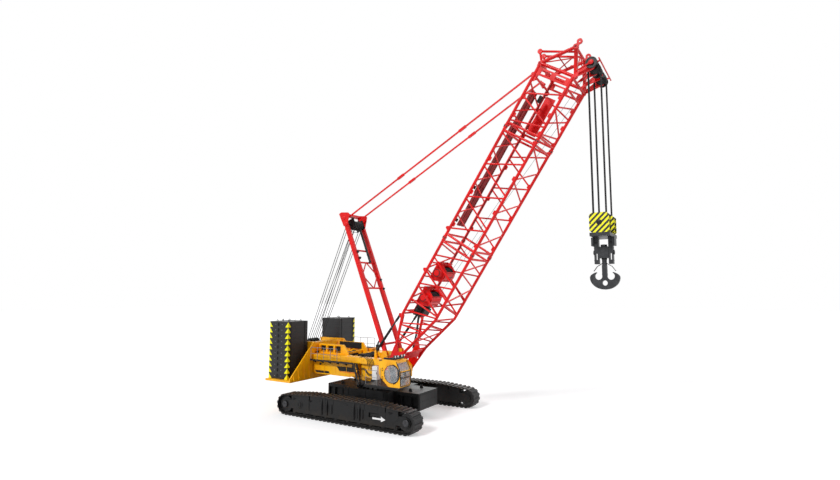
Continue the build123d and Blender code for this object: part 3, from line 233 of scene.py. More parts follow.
def weightFinish(name):
    # cast slabs: grey paint with light bloom, and yellow triangles on the outer corners of every slab
    values = {"low": 2.4503, "thick": 0.45997, "front": -6.246, "rear": -8.354, "outer": 4.290,
              "reach": 0.34, "skin": 0.03}
    front, rear, outer, reach, skin = [values[k] for k in ("front", "rear", "outer", "reach", "skin")]
    sheet = Sheet(name)
    where = sheet.place()
    x, y, z = sheet.axes(where)
    level = ((z - values["low"]) / values["thick"]) % 1.0
    peak = (1.0 - level) * 1.12 - 0.10
    onSide = abs(y) > outer - skin
    onEnd = sheet.greater(x > front - skin, x < rear + skin)
    marks = onSide * sheet.greater((front - x) / reach < peak, (x - rear) / reach < peak)
    marks = sheet.greater(marks, onEnd * ((outer - abs(y)) / reach < peak))
    bloom = sheet.patches(where, 1.8, 5.0, 0.6, 0.4, 0.75)
    runs = sheet.patches(sheet.stretch(where, (6.0, 6.0, 0.6)), 1.5, 5.0, 0.6, 0.5, 0.8)
    base = sheet.mix((bloom * 0.35 + runs * 0.25).clip(), tone["weight"], tone["bloom"])
    base = sheet.mix(marks, base, tone["hazard"])
    grain = sheet.noise(where, 60.0, 3.0, 0.6)
    return sheet.finish(base, (0.42 + bloom * 0.15).clip(), 0.0, sheet.bump(grain + bloom, 0.25, 0.004),
                        Specular_IOR_Level=0.35)


def hazardFinish(name, pitch, slope):
    # slanting black and yellow bars: (x + slope * z) wrapped at the pitch
    sheet = Sheet(name)
    where = sheet.place()
    x, z = sheet.axes(where)[::2]
    bar = (((x + z * slope) / pitch) % 1.0) > 0.5
    worn = sheet.patches(where, 11.0, 5.0, 0.65, 0.55, 0.8)
    base = sheet.mix(bar, tone["hazard"], tone["black"])
    base = sheet.mix((worn * 0.4).clip(), base, tone["grime"])
    return sheet.finish(base, (0.4 + worn * 0.25).clip(), 0.0, sheet.bump(worn, 0.15, 0.003), Coat_Weight=0.2)


def glassFinish(name):
    sheet = Sheet(name)
    # painted reflection: the pane is pale and a quarter to half opaque; the haze patches vary that and the
    # roughness
    hazeAndReflection = sheet.patches(sheet.place(), 3.0, 4.0, 0.6, 0.4, 0.8)
    return sheet.finish(tone["paneReflection"], (0.03 + hazeAndReflection * 0.07).clip(), 0.0, None,
                        Alpha=(0.26 + hazeAndReflection * 0.25).clip(), Specular_IOR_Level=1.0)


def meshFinish(name, shade, pitch):
    # anti-slip plate: raised dots, one to a cell
    sheet = Sheet(name)
    where = sheet.place()
    dots = sheet.node("ShaderNodeTexVoronoi", {"feature": "F1"}, {"Vector": where, "Scale": 1.0 / pitch})
    high = sheet.ramp(dots, 0.35, 0.15)
    dirt = sheet.patches(where, 2.2, 5.0, 0.6, 0.4, 0.7)
    base = sheet.mix((dirt * 0.5).clip(), linear(shade), tone["grime"])
    return sheet.finish(base, (0.5 + dirt * 0.2).clip(), 0.35, sheet.bump(high, 0.5, 0.004))


# Paints: name, colour, dull colour, roughness, streaks, chips, height of the dust, coat, gloss
paintSet = {
    "red": ("boomRed", (0.90, 0.02, 0.03), (0.55, 0.01, 0.02), 0.36, 0.35, 0.10, 0.0, 0.08, 0.3),
    "redDeep": ("stowRed", (0.52, 0.03, 0.04), (0.30, 0.02, 0.03), 0.5, 0.5, 0.25, 0.0, 0.05, 0.3),
    "yellow": ("bodyYellow", (1.0, 0.73, 0.04), (0.80, 0.42, 0.02), 0.32, 0.30, 0.12, 0.0, 0.15, 0.35),
    "black": ("frameBlack", (0.045, 0.046, 0.05), (0.10, 0.10, 0.105), 0.42, 0.4, 0.15, 1.0, 0.0, 0.3),
    "winch": ("winchBlack", (0.075, 0.075, 0.08), (0.15, 0.15, 0.155), 0.4, 0.4, 0.15, 0.0, 0.0, 0.3),
    "rail": ("railGrey", (0.50, 0.51, 0.53), (0.4, 0.4, 0.41), 0.4, 0.3, 0.2, 0.0, 0.1, 0.4),
    "white": ("panelWhite", (0.93, 0.93, 0.93), (0.75, 0.75, 0.74), 0.35, 0.25, 0.08, 0.0, 0.15, 0.4),
    "seat": ("seatBlack", (0.035, 0.035, 0.04), (0.11, 0.11, 0.11), 0.65, 0.2, 0.0, 0.0, 0.0, 0.4),
    "hose": ("hoseRubber", (0.035, 0.035, 0.04), (0.12, 0.12, 0.12), 0.5, 0.3, 0.1, 0.0, 0.0, 0.4)}
# Steels: name, colour, roughness, grain, soil and painted reflection, metal, height of the soil
steelSet = {
    "track": ("trackSteel", (0.075, 0.075, 0.08), 0.50, 30.0, 0.14, 0.3, 1.4),
    "bearing": ("bearingSteel", (0.20, 0.20, 0.21), 0.45, 60.0, 0.0, 0.6),
    "sheave": ("sheaveBlack", (0.07, 0.07, 0.075), 0.45, 50.0, 0.0, 0.3),
    "hook": ("forgedHook", (0.16, 0.165, 0.175), 0.42, 35.0, 0.0, 0.35)}
finishes = {key: painted(*row) for key, row in paintSet.items()}
finishes.update({key: castSteel(*row) for key, row in steelSet.items()})
finishes.update({"rope": ropeFinish("hoistRope", (0.09, 0.09, 0.10), 0.055),
                 "ropeGrey": ropeFinish("luffRope", (0.33, 0.34, 0.36), 0.05),
                 "weight": weightFinish("weightPaint"), "hazard": hazardFinish("hazardBars", 0.36, -1.0),
                 "glass": glassFinish("cabGlass"), "deck": meshFinish("deckPlate", (0.15, 0.15, 0.155), 0.05)})
cadFinish = {
    "black": ["car_body", "track_frame_right", "track_frame_left"],
    "bearing": ["slew_bearing"],
    "track": ["track_belt_right", "track_belt_left", "track_rollers_right", "track_rollers_left",
              "track_wheels_right", "track_wheels_left"],
    "yellow": ["main_frame", "front_ears", "rear_frame", "engine_house", "side_tank", "counterweight_tray",
               "cab_shell", "cab_door"],
    "winch": ["deck_winches", "luffing_block", "cab_hinges", "cab_platform", "cab_guard", "boom_winch_drums",
              "mast_cylinder", "backstop_barrels"],
    "deck": ["side_deck"], "rail": ["hand_rails"], "white": ["white_locker"], "seat": ["cab_seat"],
    "glass": ["cab_glass", "door_glass"], "weight": ["counterweights_right", "counterweights_left"],
    "red": ["mast_legs", "mast_ties", "boom_feet", "boom_base_chords", "boom_base_lacing", "boom_insert_chords",
            "boom_insert_lacing", "boom_top_chords", "boom_top_lacing", "boom_lugs", "tip_frame", "tip_plates",
            "tip_guard", "boom_winch_beams", "pendants", "boom_panel"],
    "redDeep": ["stowed_bars"], "sheave": ["mast_sheaves", "tip_sheaves", "block_sheaves"],
    "rope": ["hoist_falls"], "hazard": ["block_cheeks"],
    "hook": ["block_frame", "ramshorn_hook", "backstop_rods"]}
for key, names in cadFinish.items():
    for name in names:
        for place in cadNodes[name].material_slots:
            place.material = finishes[key]
print("stage: finishes", len(finishes))

# A set of points, with faces given as corner indices and corner counts; lay is one UV pair a corner
class Shape:
    def __init__(self, points, corners, counts, lay=None):
        self.points = np.asarray(points, float).reshape(-1, 3)
        self.corners = np.asarray(corners, int).ravel()
        self.counts = np.asarray(counts, int).ravel()
        self.lay = np.zeros((len(self.corners), 2)) if lay is None else np.asarray(lay, float).reshape(-1, 2)

    def moved(self, x=0.0, y=0.0, z=0.0):
        return Shape(self.points + np.array([x, y, z], float), self.corners, self.counts, self.lay)

    def turned(self, axis, degrees):
        return self.mapped(turnMatrix(axis, degrees))

    def mapped(self, matrix):
        return Shape(self.points @ np.asarray(matrix).T, self.corners, self.counts, self.lay)

    def mirrored(self):
        # y turns to -y
        return Shape(self.points * np.array([1, -1, 1]), *self.backwards())

    def backwards(self):
        # every face read backwards, so that it still looks outward
        ends = np.repeat(np.cumsum(self.counts), self.counts)
        back = ends - 1 - (np.arange(len(self.corners)) - (ends - np.repeat(self.counts, self.counts)))
        return self.corners[back], self.counts, self.lay[back]

    def both(self):
        return joined([self, self.mirrored()])

    def spread(self, places):
        places = np.asarray(places, float).reshape(-1, 3)
        return self.posed(np.repeat(np.eye(3)[None], len(places), 0), places)

    def posed(self, turns, places):
        # copies: point = turn @ point + place, all copies at once
        count = len(places)
        points = np.einsum("kij,nj->kni", turns, self.points) + np.asarray(places)[:, None, :]
        corners = self.corners[None, :] + np.arange(count)[:, None] * len(self.points)
        return Shape(points, corners, np.tile(self.counts, count), np.tile(self.lay, (count, 1)))


def turnMatrix(axis, degrees):
    a = math.radians(degrees)
    c, s = math.cos(a), math.sin(a)
    return np.array({"x": [[1, 0, 0], [0, c, -s], [0, s, c]], "y": [[c, 0, s], [0, 1, 0], [-s, 0, c]],
                     "z": [[c, -s, 0], [s, c, 0], [0, 0, 1]]}[axis])


def joined(shapes):
    starts = np.cumsum([0] + [len(s.points) for s in shapes[:-1]])
    return Shape(np.concatenate([s.points for s in shapes]),
                 np.concatenate([s.corners + k for s, k in zip(shapes, starts)]),
                 np.concatenate([s.counts for s in shapes]), np.concatenate([s.lay for s in shapes]))


def rings(points, roundClosed=True, capped=True, lay=None):
    # points (n, m, 3): n rings of m points each; quads between rings and an n-gon over either end
    n, m = points.shape[:2]
    step = np.arange(m if roundClosed else m - 1)
    a = (np.arange(n - 1)[:, None] * m + step[None, :])
    b = (np.arange(n - 1)[:, None] * m + (step[None, :] + 1) % m)
    quads = np.stack([a, b, b + m, a + m], -1).reshape(-1, 4)
    corners = [quads.ravel()]
    counts = [np.full(len(quads), 4)]
    if lay is None:
        pairs = [np.zeros((quads.size, 2))]
    else:
        across = np.stack([step / m, (step + 1) / m, (step + 1) / m, step / m], -1)
        along = np.stack([lay[:-1], lay[:-1], lay[1:], lay[1:]], -1)
        pairs = [np.stack(np.broadcast_arrays(across[None], along[:, None]), -1).reshape(-1, 2)]
    if capped:
        corners += [np.arange(m)[::-1], np.arange(m) + (n - 1) * m]
        counts.append(np.array([m, m]))
        pairs.append(np.zeros((2 * m, 2)))
    return Shape(points, np.concatenate(corners), np.concatenate(counts), np.concatenate(pairs))


def ringLoop(points):
    # rings joined end to end as well, such as a shaft collar or a wire that closes on itself
    n, m = points.shape[:2]
    i, j = np.meshgrid(np.arange(n), np.arange(m), indexing="ij")
    nextI, nextJ = (i + 1) % n, (j + 1) % m
    quads = np.stack([i * m + j, i * m + nextJ, nextI * m + nextJ, nextI * m + j], -1)
    return Shape(points, quads, np.full(n * m, 4))


def circle(radius, sides, start=0.0):
    a = np.arange(sides) * 2 * math.pi / sides + start
    return np.stack([radius * np.cos(a), radius * np.sin(a)], -1)


def sweep(path, profile, up=(0, 0, 1), lay=False):
    # frame at each path point from the tangent t: side = t x up, top = side x t; point = p + side u + top v
    path = np.asarray(path, float)
    profile = np.asarray(profile, float)
    t = np.gradient(path, axis=0)
    t /= np.linalg.norm(t, axis=1, keepdims=True)
    side = np.cross(t, np.broadcast_to(np.asarray(up, float), t.shape))
    side /= np.linalg.norm(side, axis=1, keepdims=True)
    top = np.cross(side, t)
    points = path[:, None] + side[:, None] * profile[None, :, :1] + top[:, None] * profile[None, :, 1:]
    along = np.concatenate([[0], np.cumsum(np.linalg.norm(np.diff(path, axis=0), axis=1))]) if lay else None
    return rings(points[:, ::-1], lay=along)


def tube(path, radius, sides=10, lay=False):
    path = np.asarray(path, float)
    step = path[-1] - path[0]
    up = (0, 1, 0) if abs(step[1]) < 0.7 * np.linalg.norm(step) else (0, 0, 1)
    return sweep(path, circle(radius, sides), up, lay)


def bent(points, radius, steps=5):
    # corners of a line rounded: at each corner a quadratic curve between two points at the radius from it
    points = np.asarray(points, float)
    out = [points[:1]]
    s = np.linspace(0, 1, steps)[:, None]
    for a, b, c in zip(points[:-2], points[1:-1], points[2:]):
        reachIn = min(radius, 0.45 * np.linalg.norm(a - b))
        reachOut = min(radius, 0.45 * np.linalg.norm(c - b))
        p = b + (a - b) / np.linalg.norm(a - b) * reachIn
        q = b + (c - b) / np.linalg.norm(c - b) * reachOut
        out.append((1 - s) ** 2 * p + 2 * s * (1 - s) * b + s ** 2 * q)
    out.append(points[-1:])
    return np.concatenate(out)


def lathe(profile, sides=24, axis="z"):
    # profile rows (radius, height) turned about z, then laid along the axis asked for
    profile = np.asarray(profile, float)
    a = np.arange(sides) * 2 * math.pi / sides
    points = np.stack([profile[:, :1] * np.cos(a), profile[:, :1] * np.sin(a),
                       np.repeat(profile[:, 1:], sides, 1)], -1)
    shape = rings(points)
    if axis == "x":
        return shape.mapped(np.array([[0, 0, 1], [1, 0, 0], [0, 1, 0]]))
    if axis == "y":
        return shape.mapped(np.array([[0, 1, 0], [0, 0, 1], [1, 0, 0]]))
    return shape


def inset(outline, d):
    # each corner moves inward along its mitre: (n1 + n2) d / (1 + n1 . n2), n = inward edge normals
    edge = np.roll(outline, -1, 0) - outline
    edge /= np.linalg.norm(edge, axis=1, keepdims=True)
    normal = np.stack([-edge[:, 1], edge[:, 0]], -1)
    before = np.roll(normal, 1, 0)
    return outline + (normal + before) * (d / (1 + (normal * before).sum(1)))[:, None]


def plate(outline, thick, bevel=0.006, axis="z"):
    # a flat outline (seen from above, anticlockwise) raised by its thickness, with both rims bevelled
    outline = np.asarray(outline, float)
    after = np.roll(outline, -1, 0)
    area = 0.5 * np.sum(outline[:, 0] * after[:, 1] - after[:, 0] * outline[:, 1])
    outline = outline if area > 0 else outline[::-1]
    small = inset(outline, bevel)
    levels = [(small, 0.0), (outline, bevel), (outline, thick - bevel), (small, thick)]
    points = np.stack([np.column_stack([flat, np.full(len(flat), h)]) for flat, h in levels])
    shape = rings(points)
    if axis == "y":
        # outline read as (x, z), raised along +y
        return Shape(shape.points[:, [0, 2, 1]], *shape.backwards())
    if axis == "x":
        # outline read as (y, z), raised along +x
        return Shape(shape.points[:, [2, 0, 1]], shape.corners, shape.counts, shape.lay)
    return shape


def block(low, high, bevel=0.006):
    x0, y0, z0 = low
    x1, y1, z1 = high
    return plate([(x0, y0), (x1, y0), (x1, y1), (x0, y1)], z1 - z0, bevel).moved(0, 0, z0)


def headsOn(places, axis, side, radius, height):
    # hexagon heads standing off a face whose normal is the axis
    turn = {"x": turnMatrix("y", 90 * side), "y": turnMatrix("x", -90 * side), "z": np.eye(3)}[axis]
    head = lathe([(radius, 0), (radius, height * 0.75), (radius * 0.8, height)], 6)
    return head.mapped(turn).spread(places)


def grid(xs, ys, zs):
    return np.stack(np.meshgrid(xs, ys, zs, indexing="ij"), -1).reshape(-1, 3)


def gathered(shapes):
    return joined(shapes) if isinstance(shapes, list) else shapes


def makePiece(name, shapes, finish, body, replaced=()):
    shape = gathered(shapes)
    mesh = bpy.data.meshes.new(name)
    mesh.vertices.add(len(shape.points))
    mesh.vertices.foreach_set("co", shape.points.ravel())
    mesh.loops.add(len(shape.corners))
    mesh.loops.foreach_set("vertex_index", shape.corners)
    mesh.polygons.add(len(shape.counts))
    mesh.polygons.foreach_set("loop_start", np.concatenate([[0], np.cumsum(shape.counts)[:-1]]))
    mesh.update(calc_edges=True)
    if shape.lay.any():
        layer = mesh.uv_layers.new(name="lay")
        layer.data.foreach_set("uv", shape.lay.ravel())
    mesh.validate()
    mesh.polygons.foreach_set("use_smooth", np.ones(len(mesh.polygons), bool))
    mesh.set_sharp_from_angle(angle=math.radians(35))
    mesh.materials.append(finishes[finish])
    piece = bpy.data.objects.new(name, mesh)
    bpy.context.scene.collection.objects.link(piece)
    if body:
        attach(piece, body)
    if replaced:
        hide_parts(*replaced)
    return piece


# The boom and the mast are shaped lying along x from their feet, then tilted about them
tiltSet = {"boomFoot": (1.56, 0, 3.15), "boomAngle": 57.0, "mastFoot": (1.157, 0, 4.715), "mastAngle": 111.57}


def onBoom(shapes):
    return gathered(shapes).turned("y", -tiltSet["boomAngle"]).moved(*tiltSet["boomFoot"])


def onMast(shapes):
    return gathered(shapes).turned("y", -tiltSet["mastAngle"]).moved(*tiltSet["mastFoot"])


# Crawler shoes: one shoe with its two chain links and pin, copied round the path
shoeSet = {"count": 70, "half": 5.6, "end": 0.796, "humpFront": 3.4, "humpRear": -3.2, "humpTop": 1.8,
           "mid": 4.575, "width": 1.136, "plate": 0.112, "linkIn": 0.16, "linkOut": 0.29, "pinRadius": 0.028}


def trackStations(s):
    # level run, front arc from -90 to 85 degrees, two sloping runs over the hump, rear arc from 95 to 270
    front = np.radians(-90 + 175 * np.arange(1, 25) / 24)
    rear = np.radians(95 + 175 * np.arange(24) / 24)
    half, end = s["half"], s["end"]
    loop = np.concatenate([[(-half, 0), (half, 0)],
                           np.stack([half + end * np.cos(front), end * (1 + np.sin(front))], -1),
                           [(s["humpFront"], s["humpTop"]), (s["humpRear"], s["humpTop"])],
                           np.stack([-half + end * np.cos(rear), end * (1 + np.sin(rear))], -1), [(-half, 0)]])
    along = np.concatenate([[0], np.cumsum(np.linalg.norm(np.diff(loop, axis=0), axis=1))])
    wanted = np.linspace(0, along[-1], s["count"] + 1)
    ends = np.stack([np.interp(wanted, along, loop[:, k]) for k in range(2)], -1)
    return ends, along[-1] / s["count"]


def makeTracks():
    s = shoeSet
    ends, pitch = trackStations(s)
    middle = (ends[1:] + ends[:-1]) / 2
    t = np.diff(ends, axis=0)
    t /= np.linalg.norm(t, axis=1, keepdims=True)
    zero, one = np.zeros(len(t)), np.ones(len(t))
    turns = np.stack([np.stack([t[:, 0], zero, -t[:, 1]], -1), np.stack([zero, one, zero], -1),
                      np.stack([t[:, 1], zero, t[:, 0]], -1)], 1)
    profile = np.array([(-.49, .075), (-.27, .068), (-.22, 0), (.22, 0), (.27, .068), (.49, .075),
                        (.49, s["plate"]), (-.49, s["plate"])])
    profile = profile * np.array([pitch, 1])
    shoe = plate(profile, s["width"], 0.006, "y").moved(0, -s["width"] / 2, 0)
    link = block((-.49 * pitch, s["linkIn"], s["plate"]), (.49 * pitch, s["linkOut"], .188), 0.012).both()
    pin = lathe([(s["pinRadius"], -.33), (s["pinRadius"], .33)], 8, "y").moved(pitch / 2, 0, .135)
    teeth = block((-.17 * pitch, .40, .001), (.17 * pitch, .52, .020), 0.004).both()
    belt = joined([shoe, link, pin, teeth]).posed(turns, np.stack([middle[:, 0], zero, middle[:, 1]], -1))
    sides = (("trackShoesRight", -1, "track_belt_right"), ("trackShoesLeft", 1, "track_belt_left"))
    for name, side, node in sides:
        makePiece(name, belt.moved(0, side * s["mid"], 0), "track", "carbody", replaced=[node])


makeTracks()

# Crawler frame side: hub covers, drive cover, bolts, steps, seams and a plain arrow
sideSet = {"face": 4.975, "cap": 5.065, "hubX": 5.6, "hubZ": 0.796, "coverX": -4.1, "coverZ": 0.92,
           "arrow": [(2.82, .73), (3.55, .73), (3.55, .61), (3.92, .79), (3.55, .97), (3.55, .85), (2.82, .85)],
           "skirts": [[(-4.95, .95), (-4.62, .70), (-3.14, .62), (-3.14, 1.66), (-4.62, 1.535), (-4.95, 1.48)],
                      [(-3.04, .62), (-1.5, .62), (-1.5, 1.665), (-3.04, 1.665)],
                      [(-.70, .62), (1.35, .62), (1.35, 1.665), (-.70, 1.665)],
                      [(2.12, 1.24), (3.87, 1.24), (3.87, 1.62), (3.4, 1.66), (2.12, 1.665)],
                      [(3.95, .62), (4.62, .70), (4.95, .95), (4.95, 1.50), (4.62, 1.545), (3.95, 1.61)],
                      [(-1.48, 1.24), (-.72, 1.24), (-.72, 1.665), (-1.48, 1.665)],
                      [(1.37, 1.24), (2.10, 1.24), (2.10, 1.665), (1.37, 1.665)]]}


def ringPlaces(x, z, radius, count, y):
    a = np.arange(count) * 2 * math.pi / count
    return np.stack([x + radius * np.cos(a), np.full(count, y), z + radius * np.sin(a)], -1)


def makeFrameSides():
    s = sideSet
    face, cap, hubX, hubZ = [s[k] for k in ("face", "cap", "hubX", "hubZ")]
    disc = lathe([(.232, 0), (.232, .010), (.205, .026), (.12, .030), (.10, .018), (.045, .018), (.04, .032)],
                 32, "y")
    heads = np.concatenate([ringPlaces(end * hubX, hubZ, .165, 12, cap + .026) for end in (-1, 1)])
    covers = [disc.spread([(hubX, cap, hubZ), (-hubX, cap, hubZ)]), headsOn(heads, "y", 1, .017, .012)]
    makePiece("hubCovers", joined(covers).both(), "bearing", "carbody")
    cover = lathe([(.33, 0), (.33, .035), (.30, .05), (.21, .05), (.19, .09), (.10, .10), (.09, .075)], 40, "y")
    parts = [cover.moved(s["coverX"], face, s["coverZ"])]
    parts.append(headsOn(ringPlaces(s["coverX"], s["coverZ"], .265, 16, face + .05), "y", 1, .017, .013))
    for z in (.60, 1.235):
        parts.append(headsOn(grid(np.linspace(-3.4, 4.5, 21), face, z), "y", 1, .020, .014))
    for x0, x1 in ((-2.9, -2.1), (-.1, .7), (2.5, 3.3)):
        parts.append(block((x0 + .05, face - .118, .86), (x1 - .05, face - .085, 1.07), .008))
        line = ((x0 + .1, face - .09), (x0 + .1, face - .03), (x1 - .1, face - .03), (x1 - .1, face - .09))
        parts.append(tube([(x, y, .83) for x, y in line], .014, 8))
    for x in (3.90, -3.1):
        parts.append(block((x, face - .002, .56), (x + .03, face + .012, 1.28), .003))
    for x in (-4.7, -3.0, 4.3):
        parts.append(block((x - .16, face, 1.292), (x + .16, face + .10, 1.32), .005))
        parts.append(plate([(0, 0), (.10, 0), (0, -.16)], .02, .003, "x").moved(x - .01, face, 1.292))
    skin = face + .017
    pillar = [(skin, .42), (skin + .05, .50), (skin + .085, .85), (skin + .085, 1.15), (skin + .04, 1.52),
              (skin, 1.60)]
    pillarX = (-1.92, -1.42, 1.10, 1.60)
    parts.append(plate(pillar, .13, .012, "x").spread([(x, 0, 0) for x in pillarX]))
    bolts = [(x + .065, skin + .085, z) for x in pillarX for z in (.93, 1.07)]
    parts.append(headsOn(bolts, "y", 1, .022, .012))
    skirt = joined([plate(outline, .018, .004, "y") for outline in s["skirts"]])
    parts += [skirt.moved(0, face + .001, 0), skirt.moved(0, face - .82, 0)]
    for x in (-2.3, .3, 3.0):
        parts.append(block((x - .28, face + .018, 1.33), (x + .28, face + .034, 1.50), .006))
        parts.append(headsOn(grid((x - .22, x + .22), face + .034, (1.36, 1.47)), "y", 1, .014, .01))
    makePiece("crawlerSide", joined(parts).both(), "black", "carbody")
    arrow = plate(s["arrow"], .008, .002, "y").moved(0, face + .018, 0)
    makePiece("plainArrow", arrow.both(), "white", "carbody")


makeFrameSides()

# Car body: webs round the ring, bolted arm flanges, deck plates, jack pads and slewing teeth
bodySet = {"top": 1.96, "ring": 1.70, "webs": 28, "teeth": 110, "toothRadius": 1.79}


def fan(shape, count):
    # copies turned about z by equal steps
    turns = np.stack([turnMatrix("z", 360 * k / count) for k in range(count)])
    return shape.posed(turns, np.zeros((count, 3)))


def makeCarBody():
    s = bodySet
    web = plate([(0, 0), (.30, 0), (.30, .04), (.06, .19), (0, .19)], .03, .004, "y")
    parts = [fan(web.moved(s["ring"] - .003, -.015, s["top"]), s["webs"])]
    ring = circle(1.93, 2 * s["webs"], .05)
    parts.append(headsOn([(x, y, s["top"]) for x, y in ring], "z", 1, .024, .02))
    for side in (-1, 1):
        x0, x1 = sorted((side * 4.4, side * 4.43))
        parts.append(block((x0, -1.3, .78), (x1, 1.3, 1.88), .008))
        heads = grid(side * 4.43, np.linspace(-1.2, 1.2, 9), (.86, 1.33, 1.80))
        parts.append(headsOn(heads, "x", side, .026, .02))
    for x in (-2.9, -3.7, 2.9, 3.7):
        parts.append(block((x - .025, -1.395, .70), (x + .025, -1.24, 1.94), .005).both())
    for x in (-1.5, 1.5):
        for y in (2.16, 3.35):
            parts.append(block((x - .66, y, .66), (x + .66, y + .05, 1.40), .008).both())
        heads = grid(np.linspace(x - .58, x + .58, 6), 4.11, (.74, 1.30))
        parts.append(headsOn(heads, "y", 1, .024, .02).both())
        parts.append(block((x - .70, 4.06, .60), (x + .70, 4.11, 1.42), .01).both())
    for x in (-3.3, 3.3):
        lugBase = plate([(-.16, 0), (.16, 0), (.10, .20), (-.10, .20)], .06, .01, "y").moved(x, .78, 1.95)
        parts.append(lugBase.both())
    parts.append(block((-2.12, -2.16, 1.5), (2.12, -2.13, 1.56), .006).both())
    for x in (-1.7, 0, 1.7):
        parts.append(block((x - .03, -2.19, .68), (x + .03, -2.145, 1.92), .006).both())
    makePiece("carBodyWebs", parts, "black", "carbody")
    tooth = plate([(-.030, 0), (.030, 0), (.014, .045), (-.014, .045)], .10, .004, "z").turned("z", -90)
    makePiece("slewTeeth", fan(tooth.moved(s["toothRadius"] - .003, 0, 2.17), s["teeth"]), "bearing", "upper")


makeCarBody()
print("stage: undercarriage")


# Rope wound on a drum: a ripple of one round top a turn
def woundRope(radius, rope, low, high, sides=32):
    turns = max(3, int((high - low) / (2 * rope)))
    t = np.linspace(0, turns, turns * 4 + 1)
    reach = radius + rope * (0.35 + 0.65 * np.abs(np.sin(math.pi * t)))
    profile = np.stack([reach, low + (high - low) * t / turns], -1)
    return lathe(profile, sides, "y")


# A sheave stack: grooves side by side, with a rim, a dished web and a hub
def sheaveProfile(radius, half, grooves):
    step = 2 * half / grooves
    t = np.linspace(0, grooves, grooves * 8 + 1)
    depth = np.minimum(.045, .42 * step) * np.abs(np.sin(math.pi * t)) ** 0.8
    rim = np.stack([radius - depth, -half + 2 * half * t / grooves], -1)
    side = np.array([(.30, -.98), (.34, -.98), (.36, -.55), (.82, -.55), (.85, -1)]) * (radius, half)
    return np.concatenate([side, rim, side[::-1] * (1, -1)])


# Deck winches: rope layers, bolted flanges and end drives
deckSet = {"places": (-1.45, -3.5), "z": 4.08, "core": .345, "rope": .020, "half": .79, "flange": .8605,
           "drive": [(.24, 0), (.24, .03), (.20, .05), (.20, .20), (.15, .215), (.15, .235)]}


def makeDeckWinches():
    s = deckSet
    ropes, steel = [], []
    for x in s["places"]:
        ropes.append(woundRope(s["core"], s["rope"], -s["half"], s["half"]).moved(x, 0, s["z"]))
        for side in (-1, 1):
            steel.append(headsOn(ringPlaces(x, s["z"], .35, 16, side * s["flange"]), "y", side, .014, .010))
            drive = lathe(s["drive"], 28, "y")
            drive = drive if side > 0 else drive.mirrored()
            steel.append(drive.moved(x, side * s["flange"], s["z"]))
        line = [(x + dx, -.98, s["z"] + dz) for dx, dz in ((.1, .12), (.35, .42), (.9, .36), (1.1, .30))]
        steel.append(tube(bent(line, .15), .022, 8))
    makePiece("deckRopes", ropes, "rope", "upper")
    makePiece("deckDrives", steel, "winch", "upper")


makeDeckWinches()

# Engine house: louvres, doors, handles, exhaust, roof grille and lifting eyes
houseSet = {"face": 2.90, "recess": 2.882, "grilles": ((-4.3, -3.1), (-2.7, -1.5)), "low": 3.3, "high": 4.1,
            "blades": 13}


def eyeRing(radius, wire, steps=18, sides=7):
    # a ring standing in the x-z plane: torus of the two radii
    a = np.arange(steps) * 2 * math.pi / steps
    b = np.arange(sides) * 2 * math.pi / sides
    reach = radius + wire * np.cos(b)[None, :]
    points = np.stack([reach * np.cos(a)[:, None], np.broadcast_to(wire * np.sin(b)[None, :], (steps, sides)),
                       reach * np.sin(a)[:, None]], -1)
    return ringLoop(points)


def makeEngineHouse():
    s = houseSet
    dark, body = [], []
    face, low, high = s["face"], s["low"], s["high"]
    for x0, x1 in s["grilles"]:
        blade = plate([(0, 0), (.045, -.035), (.050, -.028), (.006, .010)], x1 - x0 - .02, .001, "x")
        blade = blade.moved(x0 + .01, s["recess"] - .03, 0)
        dark.append(blade.spread(grid(0, 0, np.linspace(low + .03, high - .06, s["blades"]))))
        for z0, z1 in ((low - .05, low), (high, high + .05)):
            body.append(block((x0 - .05, face - .002, z0), (x1 + .05, face + .02, z1), .004))
        for xa, xb in ((x0 - .05, x0), (x1, x1 + .05)):
            body.append(block((xa, face - .002, low), (xb, face + .02, high), .004))
        for x in (x0 + .12, x1 - .12):
            dark.append(block((x - .03, face + .018, low - .035), (x + .03, face + .035, low - .01), .004))
    for x in (-4.55, -3.0, -2.85, -1.35):
        dark.append(block((x - .006, face - .003, 3.12), (x + .006, face + .003, 4.28), .001))
    for x in (-4.5, -3.4):
        body.append(block((x, 1.72, 4.562), (x + .9, 2.6, 4.60), .01))
    slat = block((0, 1.76, 4.60), (.03, 2.56, 4.622), .004)
    slats = slat.spread([(x, 0, 0) for x in np.arange(-4.44, -3.64, .065)])
    dark += [slats, slats.moved(1.1, 0, 0)]
    pipe = bent([(-2.0, 2.2, 4.33), (-2.0, 2.2, 4.95), (-2.0, 2.38, 5.16), (-2.0, 2.52, 5.20)], .16, 7)
    dark.append(sweep(pipe, circle(.075, 16), (1, 0, 0)))
    muffler = [(.10, 0), (.16, .03), (.165, .08), (.165, .46), (.16, .51), (.09, .54)]
    dark.append(lathe(muffler, 28).moved(-2.0, 2.2, 4.36))
    dark.append(lathe([(.11, 0), (.11, .05), (.085, .07)], 20).moved(-1.4, 2.3, 4.348))
    for x in (-5.0, -1.1):
        for y in (1.7, 2.7):
            body.append(eyeRing(.055, .014).moved(x, y, 4.40))
    makePiece("houseDark", dark, "winch", "upper")
    makePiece("houseTrim", body, "yellow", "upper")


makeEngineHouse()

# Near side: rings round the holes, caps, blank plates, hoses, pipes, brackets and toe board
nearSet = {"face": -2.08, "tankFace": -2.02, "holeZ": 4.155, "holes": (-4.99, -3.445, -1.9, -.355),
           "slope": [(-3.02, 3.50), (-2.72, 3.14), (-.98, 3.14), (-1.22, 3.50)],
           "low": [(-5.35, 3.03), (-5.2, 2.84), (-3.72, 2.84), (-3.86, 3.03)],
           "strip": [(-2.69, 3.11), (-2.66, 3.07), (-.93, 3.07), (-.96, 3.11)]}


